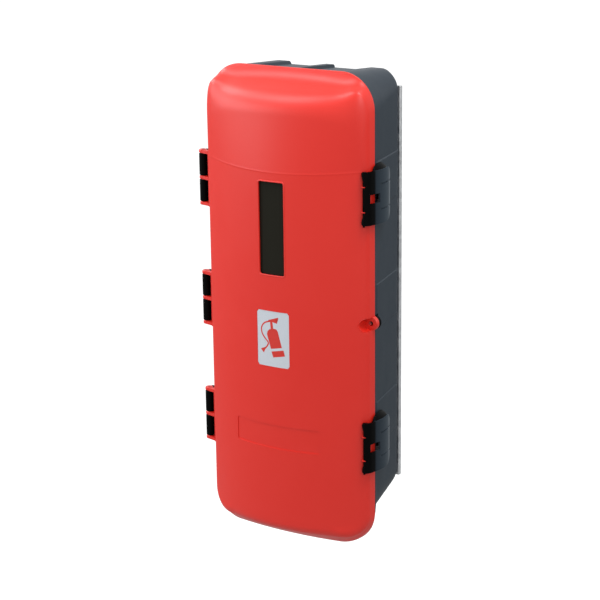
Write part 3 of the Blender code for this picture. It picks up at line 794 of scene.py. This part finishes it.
def grip_inner(share):
    """A point on the grip's inner face in plan, from the door's corner to the grip's rear end."""
    corner = face_depth(DOOR_HALF, 0.0)
    start_x, start_y = DOOR_HALF + 0.0045, DOOR_Y - corner + 0.0070
    end_y = RIM_Y + LATCH_REACH
    bow = math.sin(math.pi * min(1.0, 0.12 + 0.88 * share))
    bulge = 0.006 * (bow - math.sin(math.pi * 0.12) * (1 - share))
    return start_x - 0.0015 * share + bulge, start_y + (end_y - start_y) * share


def resample(points, count):
    """Points evenly spread along a smooth curve through the given ones."""
    pts = np.array(points, float)
    for _ in range(3):
        quarter = np.empty((2 * len(pts) - 2, 2))
        quarter[0::2] = 0.75 * pts[:-1] + 0.25 * pts[1:]
        quarter[1::2] = 0.25 * pts[:-1] + 0.75 * pts[1:]
        pts = np.vstack([pts[:1], quarter, pts[-1:]])
    lengths = np.concatenate([[0.0], np.cumsum(np.linalg.norm(np.diff(pts, axis=0), axis=1))])
    at = np.linspace(0.0, lengths[-1], count)
    return np.stack([np.interp(at, lengths, pts[:, 0]), np.interp(at, lengths, pts[:, 1])], 1)


def lever_ring(pivot, height):
    """The lever's section at a height from its centre, as one closed ring in plan."""
    corner = face_depth(DOOR_HALF, 0.0)
    px, py = pivot.x, pivot.y
    share = abs(height) / (LATCH_HEIGHT / 2)
    waist = WAIST_DEPTH * (1 - smooth_step(0.46, 0.92, share))
    past = min(PLATE_CORNER, max(0.0, abs(height) - (LATCH_HEIGHT / 2 - PLATE_CORNER)))
    waist += PLATE_CORNER - math.sqrt(PLATE_CORNER ** 2 - past ** 2)
    tip = max(0.0, abs(height) - (LATCH_HEIGHT / 2 - LATCH_ROUND))
    last = 1.0 - (LATCH_ROUND - math.sqrt(max(0.0, LATCH_ROUND ** 2 - tip ** 2))) / GRIP_RUN
    outer = [
        (px - 0.0040 + waist, py + 0.0010), (px - 0.0036 + waist, py - 0.0024),
        (px - 0.0010 + waist * 0.7, py - 0.0040), (px + 0.0030, py - 0.0041),
        (DOOR_HALF + 0.0030, DOOR_Y - corner - 0.0074), (DOOR_HALF + 0.0058, DOOR_Y - corner - 0.0030)]
    inner = [
        (px - 0.0032 + waist, py + 0.0030), (px - 0.0004 + waist, py + 0.0040), (px + 0.0030, py + 0.0034),
        (DOOR_HALF + 0.0005, DOOR_Y - corner - 0.0050), (DOOR_HALF + 0.0030, DOOR_Y - corner - 0.0010)]
    for step in range(9):
        x, y = grip_inner(last * step / 8)
        inner.append((x, y))
        outer.append((x + 0.003 - 0.0006 * (step / 8) ** 3, y - 0.0006))
    count = 64
    outside, inside = resample(outer, count), resample(inner, count)
    groove = sum(1 - smooth_step(0.0007, 0.0011, abs(height - side * LUG_OFFSET)) for side in (-1, 1))
    for index, point in enumerate(outside):
        point[0] -= GROOVE_DEPTH * groove * smooth_step(0.46, 0.60, index / (count - 1))
    x, y = (outside[-1] + inside[-1]) / 2
    ring = [*outside, (x, y + 0.0012), *inside[::-1]]
    return [(x, y, pivot.z + LATCH_LIFT + height) for x, y in ring]


def lever_heights():
    """Heights of the lever's sections, closer at its slits, grooves and round ends."""
    heights = {0.0}
    half = LATCH_HEIGHT / 2
    for step in range(1, 24):
        heights.add(round(half * step / 24, 5))
    for step in range(-5, 6):
        heights.add(round(LUG_OFFSET + step * 0.0004, 5))
    for step in range(9):
        heights.add(round(half - LATCH_ROUND * (1 - math.sin(math.pi / 2 * step / 8)), 5))
    return sorted({-h for h in heights} | heights)


def build_lever(where):
    pivot = LATCH_AXES[where]
    rings = [lever_ring(pivot, height) for height in lever_heights()]
    lever = solid(f"latch_lever_{where}_body", *skin(rings))
    cutters = []
    for side in (-1, 1):
        z = pivot.z + side * LUG_OFFSET
        cutters.append(box_object(
            f"slit_{side + 1}", (pivot.x - 0.010, pivot.y - 0.010, z - SLIT_HALF),
            (pivot.x + 0.0046, pivot.y + 0.012, z + SLIT_HALF)))
        eye = (DOOR_HALF, RIM_Y + LATCH_REACH - 0.0030, z)
        cutters.append(round_bar(f"eye_{side + 1}", eye, EYE_RADIUS, 0.04, "X", sides=24))
    cutters.append(box_object(
        "slot", (DOOR_HALF - 0.0015, DOOR_Y - 0.0245, pivot.z - SLOT_HALF),
        (DOOR_HALF + 0.03, RIM_Y - 0.0025, pivot.z + SLOT_HALF)))
    cut(lever, cutters)
    shade(lever, 40.0)
    return lever


def lever_end(where, side):
    """The height of the lever's upper or lower end."""
    return LATCH_AXES[where].z + LATCH_LIFT + side * LATCH_HEIGHT / 2


def lever_shade_cap(where):
    """A black cap over the hollow's upper end, climbing from the grip's edge towards the housing: painted
    shade, a dark sheet where the hollow only lies in shade.
    """
    edge = [grip_inner(0.02 + 0.86 * step / 12) for step in range(13)]
    first, last = edge[0][1], edge[-1][1]
    rings = []
    for level in range(7):
        climb = level / 6
        ring = []
        for x, y in edge:
            wall = housing_half(max(0.0, y - RIM_Y)) + 0.0022 if y > RIM_Y else DOOR_HALF + 0.0012
            arch = math.sin(math.pi * min(1.0, max(0.0, (y - first) / (last - first)))) ** 0.35
            rise = CAP_CLIMB * arch * math.sin(math.pi / 2 * climb)
            ring.append((x + 0.0006 + (wall - x) * climb, y, lever_end(where, 1) - 0.0030 + rise))
        rings.append(ring)
    return thicken(solid(f"cap_{where}", *skin(rings, closed_ring=False, caps=False)), 0.0010)


def lever_shade_web(where, side):
    """A black web across the hollow at one end of the lever: painted shade, a dark piece that stands in for
    the shade inside the hollow.
    """
    edge = [grip_inner(0.02 + 0.62 * step / 10) for step in range(11)]
    back = [(housing_half(max(0.0, y - RIM_Y)) + 0.0030 if y > RIM_Y else DOOR_HALF + 0.0020, y)
            for _, y in reversed(edge)]
    plan = [(x + 0.0008, y) for x, y in edge] + back
    z = lever_end(where, side) - side * 0.0034
    return bar_between(f"web_{where}_{side + 1}", plan, z - 0.0009, z + 0.0009)


# Hinge form

def knuckle_spans():
    """Lower and upper ends of the red and the black knuckles, about the hinge's centre."""
    half = HINGE_HEIGHT / 2
    red = [(-half, -half + RED_KNUCKLE), (-RED_KNUCKLE / 2, RED_KNUCKLE / 2), (half - RED_KNUCKLE, half)]
    black = [(red[0][1] + RUN_GAP, red[1][0] - RUN_GAP), (red[1][1] + RUN_GAP, red[2][0] - RUN_GAP)]
    return red, black


def repeat_up(name, source, heights, material):
    """Repeat a piece at several heights with a Geometry Nodes tree, as one plain mesh."""
    tree = bpy.data.node_groups.new(f"{name}_row", "GeometryNodeTree")
    tree.interface.new_socket("Geometry", in_out="OUTPUT", socket_type="NodeSocketGeometry")
    count = tree.interface.new_socket("Count", in_out="INPUT", socket_type="NodeSocketInt")
    first = tree.interface.new_socket("First Height", in_out="INPUT", socket_type="NodeSocketFloat")
    pitch = tree.interface.new_socket("Pitch", in_out="INPUT", socket_type="NodeSocketFloat")
    given = add(tree, "NodeGroupInput")
    start = add(tree, "ShaderNodeCombineXYZ", {"Z": given.outputs["First Height"]})
    step = add(tree, "ShaderNodeCombineXYZ", {"Z": given.outputs["Pitch"]})
    line = add(tree, "GeometryNodeMeshLine", {
        "Count": given.outputs["Count"], "Start Location": start.outputs[0], "Offset": step.outputs[0]})
    piece = add(tree, "GeometryNodeObjectInfo", {"Object": source})
    spread = add(tree, "GeometryNodeInstanceOnPoints", {
        "Points": line.outputs["Mesh"], "Instance": piece.outputs["Geometry"]})
    real = add(tree, "GeometryNodeRealizeInstances", {"Geometry": spread.outputs["Instances"]})
    painted = add(tree, "GeometryNodeSetMaterial", {
        "Geometry": real.outputs["Geometry"], "Material": material})
    add(tree, "NodeGroupOutput", {"Geometry": painted.outputs["Geometry"]})
    obj = mesh_object(name, [(0, 0, 0)], [])
    modifier = obj.modifiers.new("row", "NODES")
    modifier.node_group = tree
    modifier[count.identifier] = len(heights)
    modifier[first.identifier] = heights[0]
    modifier[pitch.identifier] = heights[1] - heights[0]
    settle(obj)
    bpy.data.objects.remove(source, do_unlink=True)
    bpy.data.node_groups.remove(tree)
    return obj


# What a user would change

class CabinetSizes(bpy.types.PropertyGroup):
    """Sizes of the cabinet's forms."""
    bow_radius: FloatProperty(
        name="Bow radius", description="Radius of the door's upright bow", default=0.277, min=0.2, max=1.0,
        unit="LENGTH")
    crease_lean: FloatProperty(
        name="Hood lean", description="How far the face leans back for each metre above the crease",
        default=0.055, min=0.0, max=0.3)


class CabinetLook(bpy.types.PropertyGroup):
    """Light and backdrop round the cabinet."""
    key_strength: FloatProperty(
        name="Key light", description="Power of the large soft light at the upper left", default=36.0,
        min=0.0, unit="POWER")
    fill_strength: FloatProperty(
        name="Sky", description="Strength of the white surround on the cabinet", default=0.62, min=0.0,
        max=1.0)
    floor_colour: FloatVectorProperty(
        name="Floor", description="Colour of the floor", default=linear("#b0b0ae")[:3], size=3,
        subtype="COLOR", min=0.0, max=1.0)


MATS = {}


def seal_notch(y, length):
    """The round notch that clears the seal eyelets."""
    return round_bar("seal_notch", (SEAL_MIDDLE.x, y, SEAL_MIDDLE.z), SEAL_RADIUS + SEAL_PLAY, length, "Y")


class CABINET_OT_housing(bpy.types.Operator):
    """Build the housing and finish the frame behind it"""
    bl_idname = "cabinet.housing"
    bl_label = "Housing"

    def execute(self, context):
        shell = solid("housing_body", *skin(housing_rings()))
        cut(shell, [seal_notch(RIM_Y, 0.028)])
        shade(shell, 32.0)
        finish_piece(shell, "housing", MATS["grey"], ["housing_shell"])
        for node in NODES:
            if node.startswith("mounting_"):
                refinish(node, MATS["zinc"], 30.0)
        return {"FINISHED"}


class CABINET_OT_door(bpy.types.Operator):
    """Build the bowed door with its window, recesses and latch lugs"""
    bl_idname = "cabinet.door"
    bl_label = "Door"

    def execute(self, context):
        door = mesh_object("door_skin", *skin(door_rings(), caps=False))
        edit_mesh(door, merge(2e-5))
        edit_mesh(door, outward)
        edit_mesh(door, lambda bm: face_front(
            bm, min(bm.faces, key=lambda f: f.calc_center_median().y).normal.y))
        thicken(door, DOOR_WALL)
        recesses = [
            face_slab(name, *field, CUTTER_AHEAD, CUTTER_AHEAD + RECESS_DEPTH, corner)
            for name, field, corner in (("sign_recess", widened(SIGN, SIGN_PLAY), SIGN_CORNER),
                                        ("label_recess", LABEL, LABEL_CORNER))]
        cut(door, [window_cutter(), *recesses, seal_notch(DOOR_Y - 0.020, 0.060)])
        shade(door, 32.0)
        finish_piece(door, "door", MATS["red"], ["door_shell"])
        lip = swept_bead("window_lip", window_path(0.0006), LIP_RADIUS, LIP_LIFT)
        shade(lip, 80.0)
        finish_piece(lip, "door", MATS["red"])
        pane = face_slab(
            "window_glazing", *widened(WINDOW, PANE_MARGIN), -PANE_SUNK, PANE_THICKNESS, PANE_CORNER)
        shade(pane, 40.0)
        finish_piece(pane, "door", MATS["pane"], ["window_pane"])
        lugs = []
        for pivot in LATCH_AXES.values():
            for side in (-1, 1):
                lugs.append(self.lug(pivot, pivot.z + side * LUG_OFFSET))
            tongue = box_object(
                "tongue", (DOOR_HALF - 0.0035, DOOR_Y - 0.0232, pivot.z - TONGUE_HALF),
                (DOOR_HALF + 0.0016, DOOR_Y - 0.0150, pivot.z + TONGUE_HALF))
            lugs.append(modify(tongue, "BEVEL", width=TONGUE_ROUND, segments=4, limit_method="ANGLE",
                               angle_limit=math.radians(35.0)))
        for piece, angle in ((join("latch_lugs", lugs), 40.0), (self.scoop(), 60.0)):
            shade(piece, angle)
            finish_piece(piece, "door", MATS["red"])
        return {"FINISHED"}

    def scoop(self):
        """The moulded half pipe that lets the seal wire reach the eyelet."""
        insets, rises = zip(*section_curve(SIDE_SECTION, 12))
        radius, sunk, lip = SEAL_RADIUS + SEAL_PLAY, 0.0006, 0.0008
        rings = []
        for step in range(33):
            turn = math.pi * (0.36 + 1.28 * step / 32)
            x, z = SEAL_MIDDLE.x + radius * math.cos(turn), SEAL_MIDDLE.z + radius * math.sin(turn)
            share = max(0.0, min(1.0, (DOOR_HALF - x) / SIDE_INSET))
            deep = face_depth(min(x, DOOR_HALF - SIDE_INSET), z)
            front = RIM_EDGE + (deep - RIM_EDGE) * float(np.interp(share, insets, rises)) - sunk
            rings.append([(x, DOOR_Y - lip - (front - lip) * level / 10, z) for level in range(11)])
        pipe = mesh_object("seal_scoop", *skin(rings, closed_ring=False, caps=False))
        thicken(pipe, 0.0014, 1.0 if pipe.data.polygons[0].normal.x < 0 else -1.0)
        edit_mesh(pipe, outward)
        return pipe

    def lug(self, pivot, z):
        """A lug round the lever's pin, running back into the door's wall."""
        points = []
        for step in range(17):
            turn = math.pi * (1 + step / 16)
            points.append((pivot.x + LUG_RADIUS * math.cos(turn), pivot.y + LUG_RADIUS * math.sin(turn)))
        points.append((DOOR_HALF - DOOR_WALL / 2, DOOR_Y - 0.017))
        left = pivot.x - LUG_RADIUS
        points.append((left, DOOR_Y - face_depth(left, 0.0) + DOOR_WALL / 2))
        return bar_between("lug", points, z - LUG_HALF, z + LUG_HALF)


class CABINET_OT_sign(bpy.types.Operator):
    """Lay the sign sheet in its recess and print the extinguisher figure on it"""
    bl_idname = "cabinet.sign"
    bl_label = "Sign"

    def execute(self, context):
        sheet = face_slab("sign_sheet_film", *SIGN, -SIGN_PLAY, SIGN_THICKNESS, SIGN_CORNER)
        shade(sheet, 40.0)
        finish_piece(sheet, "door", MATS["sheet"], ["sign_plate"])
        parts = [self.print_shape(points) for points in FIGURE_SHAPES]
        figure = join("sign_figure", [*parts, self.print_line(FIGURE_HOSE, HOSE_WIDTH)])
        edit_mesh(figure, outward)
        finish_piece(figure, "door", MATS["ink"])
        return {"FINISHED"}

    def print_shape(self, points):
        """A flat shape, cut up finely enough to follow the door's bow."""
        bm = bmesh.new()
        face = bm.faces.new([bm.verts.new((u, v, 0.0)) for u, v in points])
        bmesh.ops.triangulate(bm, faces=[face])
        bmesh.ops.subdivide_edges(bm, edges=bm.edges, cuts=3, use_grid_fill=True)
        bm.verts.index_update()
        faces = [tuple(v.index for v in f.verts) for f in bm.faces]
        laid = self.laid([tuple(v.co)[:2] for v in bm.verts], faces)
        bm.free()
        return laid

    def print_line(self, points, width):
        """A line of this width through the points."""
        count = 48
        path = resample(points, count)
        across = np.gradient(path, axis=0)
        across = np.stack([-across[:, 1], across[:, 0]], 1)
        across *= width / 2 / np.linalg.norm(across, axis=1)[:, None]
        faces = [(i, i + 1, i + 1 + count, i + count) for i in range(count - 1)]
        return self.laid([*(path + across), *(path - across)], faces)

    def laid(self, points, faces):
        """Points in sheet millimetres and their faces, laid on the sheet and facing outwards."""
        verts = []
        for u, v in points:
            x, z = -SIGN[0] + u / 1000, SIGN[1] - v / 1000
            verts.append((x, DOOR_Y - face_depth(x, z) + PRINT_LIFT, z))
        obj = solid("print", verts, faces)
        edit_mesh(obj, lambda bm: face_front(bm, sum(f.normal.y for f in bm.faces)))
        return obj


class CABINET_OT_hinges(bpy.types.Operator):
    """Build the three edge hinges"""
    bl_idname = "cabinet.hinges"
    bl_label = "Hinges"

    def execute(self, context):
        red, black = knuckle_spans()
        for half, spans, body, slot, finish, node in (
                (self.red_half, red, "door", "door_plastic", "red", "door_knuckles"),
                (self.black_half, black, "housing", "black_plastic", "black", "hinge_leaf")):
            row = repeat_up(f"hinge_{body}_halves", half(spans), HINGE_CENTRES, MATS[finish])
            shade(row, 35.0)
            finish_piece(row, body, MATS[finish], [f"{node}_{where}" for where in HINGE_PLACES])
        for where in HINGE_PLACES:
            refinish(f"hinge_pin_{where}", MATS["steel"], 40.0)
        return {"FINISHED"}

    def knuckles(self, spans, name, edge, plan):
        """Barrels round the pin, each with the arm of this plan."""
        parts = []
        for index, (low, high) in enumerate(spans):
            centre = (HINGE_AXIS.x, HINGE_AXIS.y, (low + high) / 2)
            parts.append(round_bar(f"{name}_{index}", centre, BARREL_RADIUS, high - low, edge=edge))
            parts.append(bar_between(f"{name}_arm_{index}", plan, low + 0.0003, high - 0.0003))
        return parts

    def red_half(self, spans):
        """The door's half of a hinge."""
        x, y = HINGE_AXIS.x, HINGE_AXIS.y
        inner, half = -(DOOR_HALF + 0.0003), HINGE_HEIGHT / 2
        parts = self.knuckles(spans, "red", 0.0012, [
            (x - 0.003, y - 0.0055), (x - 0.001, y - 0.001), (x + 0.003, y + 0.001),
            (inner - 0.001, DOOR_Y - 0.0070), (inner - 0.001, DOOR_Y - 0.0140)])
        parts.append(box_object(
            "strip", (inner - 0.0020, DOOR_Y - 0.0150, -half), (inner, DOOR_Y - 0.0062, half)))
        return self.joined("door_knuckle", parts)

    def black_half(self, spans):
        """The housing's half of a hinge, with its plate on the side."""
        x, y = HINGE_AXIS.x, HINGE_AXIS.y
        near, far, thick, half = 0.010, 0.030, 0.0025, HINGE_HEIGHT / 2
        side, rear = (-(housing_half(back) + 0.0003) for back in (near, far))
        parts = self.knuckles(spans, "black", 0.0010, [
            (x - 0.003, y + 0.002), (x + 0.004, y - 0.001), (side - thick / 2, RIM_Y + near + 0.001),
            (side - thick / 2, RIM_Y + near + 0.007)])
        parts.append(bar_between("plate", [
            (side, RIM_Y + near), (rear, RIM_Y + far), (rear - thick, RIM_Y + far),
            (side - thick, RIM_Y + near)], -half, half))
        parts.append(box_object(
            "apron", (x - 0.0015, RIM_Y + 0.0045, -half + 0.0010), (side, RIM_Y + 0.0070, half - 0.0010)))
        return self.joined("housing_knuckle", parts)

    def joined(self, name, parts):
        half = join(name, parts)
        edit_mesh(half, outward)
        return half


class CABINET_OT_latches(bpy.types.Operator):
    """Build the two lever latches"""
    bl_idname = "cabinet.latches"
    bl_label = "Latches"

    def execute(self, context):
        for where in LATCH_AXES:
            lever = build_lever(where)
            finish_piece(lever, f"{where}_latch", MATS["lever"], [f"latch_lever_{where}"])
            # Black cap and webs close the hollow's ends: painted shade, dark pieces where the hollow lies in
            # shade.
            webs = join(f"latch_webs_{where}", [lever_shade_web(where, -1), lever_shade_web(where, 1), lever_shade_cap(where)])
            shade(webs, 40.0)
            finish_piece(webs, f"{where}_latch", MATS["black"])
            for node in (f"latch_pin_{where}", f"latch_catch_{where}"):
                refinish(node, MATS["black"], 40.0)
        return {"FINISHED"}


class CABINET_OT_seals(bpy.types.Operator):
    """Build the two eyelets that a seal wire passes through"""
    bl_idname = "cabinet.seals"
    bl_label = "Seal eyelets"

    def execute(self, context):
        for node, body, slot, material in (
                ("door_seal_eyelet", "door", "door_plastic", MATS["red"]),
                ("housing_seal_eyelet", "housing", "black_plastic", MATS["black"])):
            low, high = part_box(node)
            middle = (low + high) / 2
            ring = round_bar(
                f"{node}_ring", middle, SEAL_RADIUS, high.y - low.y, "Y", edge=0.0012, sides=72)
            cut(ring, [round_bar("bore", middle, SEAL_BORE, 0.03, "Y", sides=48)])
            shade(ring, 40.0)
            finish_piece(ring, body, material, [node])
        return {"FINISHED"}


class CABINET_OT_stage(bpy.types.Operator):
    """Set the camera, lights, surround and floor"""
    bl_idname = "cabinet.stage"
    bl_label = "Stage"

    def execute(self, context):
        look = context.scene.cabinet_look
        context.scene.view_settings.view_transform = "Standard"
        self.camera(context)
        self.area("key_light", (-1.3, -1.6, 2.9), (1.2, 1.2), look.key_strength)
        for light in LIGHTS:
            self.area(*light)
        self.surround(context, look)
        self.floor(look)
        return {"FINISHED"}

    def camera(self, context):
        """The camera fitted to the photograph: azimuth, elevation, roll, distance, pan and tilt."""
        azimuth, elevation, roll = (math.radians(angle) for angle in CAMERA_TURN)
        pan, tilt = (math.radians(angle) for angle in CAMERA_AIM)
        back = Vector((math.sin(azimuth) * math.cos(elevation), -math.cos(azimuth) * math.cos(elevation),
                       math.sin(elevation)))
        right = Vector((math.cos(azimuth), math.sin(azimuth), 0.0))
        up = back.cross(right)
        c, s = math.cos(roll), math.sin(roll)
        view = Matrix((c * right + s * up, -s * right + c * up, back))
        turn = Matrix.Rotation(tilt, 3, "X") @ Matrix.Rotation(pan, 3, "Y")
        data = bpy.data.cameras.new("camera")
        data.lens = SENSOR_WIDTH * FOCAL_PIXELS / PICTURE_PIXELS
        data.sensor_width = SENSOR_WIDTH
        data.clip_end = 60.0
        camera = new_object("camera", data)
        place = Matrix.Translation(Vector((0.0, RIM_Y, 0.0)) + CAMERA_DISTANCE * back)
        camera.matrix_world = place @ (turn @ view).transposed().to_4x4()
        context.scene.camera = camera

    def area(self, name, place, size, power):
        """A soft light that faces the cabinet."""
        data = bpy.data.lights.new(name, "AREA")
        data.shape = "RECTANGLE"
        data.size, data.size_y = size
        data.energy = power
        data.color = (0.96, 0.96, 1.0)
        light = new_object(name, data)
        light.location = place
        light.rotation_euler = (-Vector(place)).to_track_quat("-Z", "Y").to_euler()

    def plainly_seen(self, tree):
        """One where the camera, a gloss or a glass sees the stage, else zero."""
        rays = add(tree, "ShaderNodeLightPath").outputs
        seen = rays["Is Camera Ray"]
        for kind in ("Is Glossy Ray", "Is Transmission Ray"):
            seen = add(tree, "ShaderNodeMath", {0: seen, 1: rays[kind]}, operation="MAXIMUM").outputs["Value"]
        return seen

    def surround(self, context, look):
        """A white surround: pure white where the camera, gloss or glass sees it, softer as light."""
        world = bpy.data.worlds.new("surround")
        context.scene.world = world
        world.use_nodes = True
        tree = world.node_tree
        tree.nodes.clear()
        seen = add(tree, "ShaderNodeBackground", {"Color": (1, 1, 1, 1), "Strength": 1.0})
        sky = add(tree, "ShaderNodeBackground", {"Color": (0.96, 0.98, 1, 1), "Strength": look.fill_strength})
        mix = add(tree, "ShaderNodeMixShader", {
            0: self.plainly_seen(tree), 1: sky.outputs["Background"], 2: seen.outputs["Background"]})
        add(tree, "ShaderNodeOutputWorld", {"Surface": mix.outputs["Shader"]})

    def floor(self, look):
        """A matt floor that keeps the shadow and glows a little where the camera sees it."""
        material, tree, shader, _ = start_material("painted_floor")
        rays = add(tree, "ShaderNodeLightPath")
        glow = add(tree, "ShaderNodeMath", {0: rays.outputs["Is Camera Ray"], 1: 0.8}, operation="MULTIPLY")
        fill(tree, shader, {
            "Base Color": (*look.floor_colour, 1.0),
            "Roughness": 0.9,
            "Emission Color": (1.0, 1.0, 1.0, 1.0),
            "Emission Strength": glow.outputs["Value"]})
        corners = [(x, y, FLOOR_HEIGHT) for x, y in ((-25, -8), (25, -8), (25, 40), (-25, 40))]
        floor = mesh_object("floor", corners, [(0, 1, 2, 3)])
        floor.data.materials.append(material)


class CABINET_PT_panel(bpy.types.Panel):
    """Sizes, light and build steps of the cabinet"""
    bl_idname = "CABINET_PT_panel"
    bl_label = "Extinguisher cabinet"
    bl_space_type = "VIEW_3D"
    bl_region_type = "UI"
    bl_category = "Cabinet"

    def draw(self, context):
        for group in (context.scene.cabinet_sizes, context.scene.cabinet_look):
            box = self.layout.box()
            for name in group.bl_rna.properties.keys():
                if name not in ("rna_type", "name"):
                    box.prop(group, name)
        for operator in OPERATORS:
            self.layout.operator(operator.bl_idname)


GROUPS = (CabinetSizes, CabinetLook)
OPERATORS = (CABINET_OT_housing, CABINET_OT_door, CABINET_OT_sign, CABINET_OT_hinges, CABINET_OT_latches,
             CABINET_OT_seals, CABINET_OT_stage)


def register():
    for cls in (*GROUPS, *OPERATORS, CABINET_PT_panel):
        bpy.utils.register_class(cls)
    bpy.types.Scene.cabinet_sizes = PointerProperty(type=CabinetSizes)
    bpy.types.Scene.cabinet_look = PointerProperty(type=CabinetLook)


def unregister():
    del bpy.types.Scene.cabinet_look
    del bpy.types.Scene.cabinet_sizes
    for cls in reversed((*GROUPS, *OPERATORS, CABINET_PT_panel)):
        bpy.utils.unregister_class(cls)


def main():
    register()
    MATS.update(build_materials())
    bpy.ops.cabinet.housing()
    bpy.ops.cabinet.door()
    bpy.ops.cabinet.sign()
    bpy.ops.cabinet.hinges()
    bpy.ops.cabinet.latches()
    bpy.ops.cabinet.seals()
    bpy.ops.cabinet.stage()


if __name__ == "__main__":
    main()
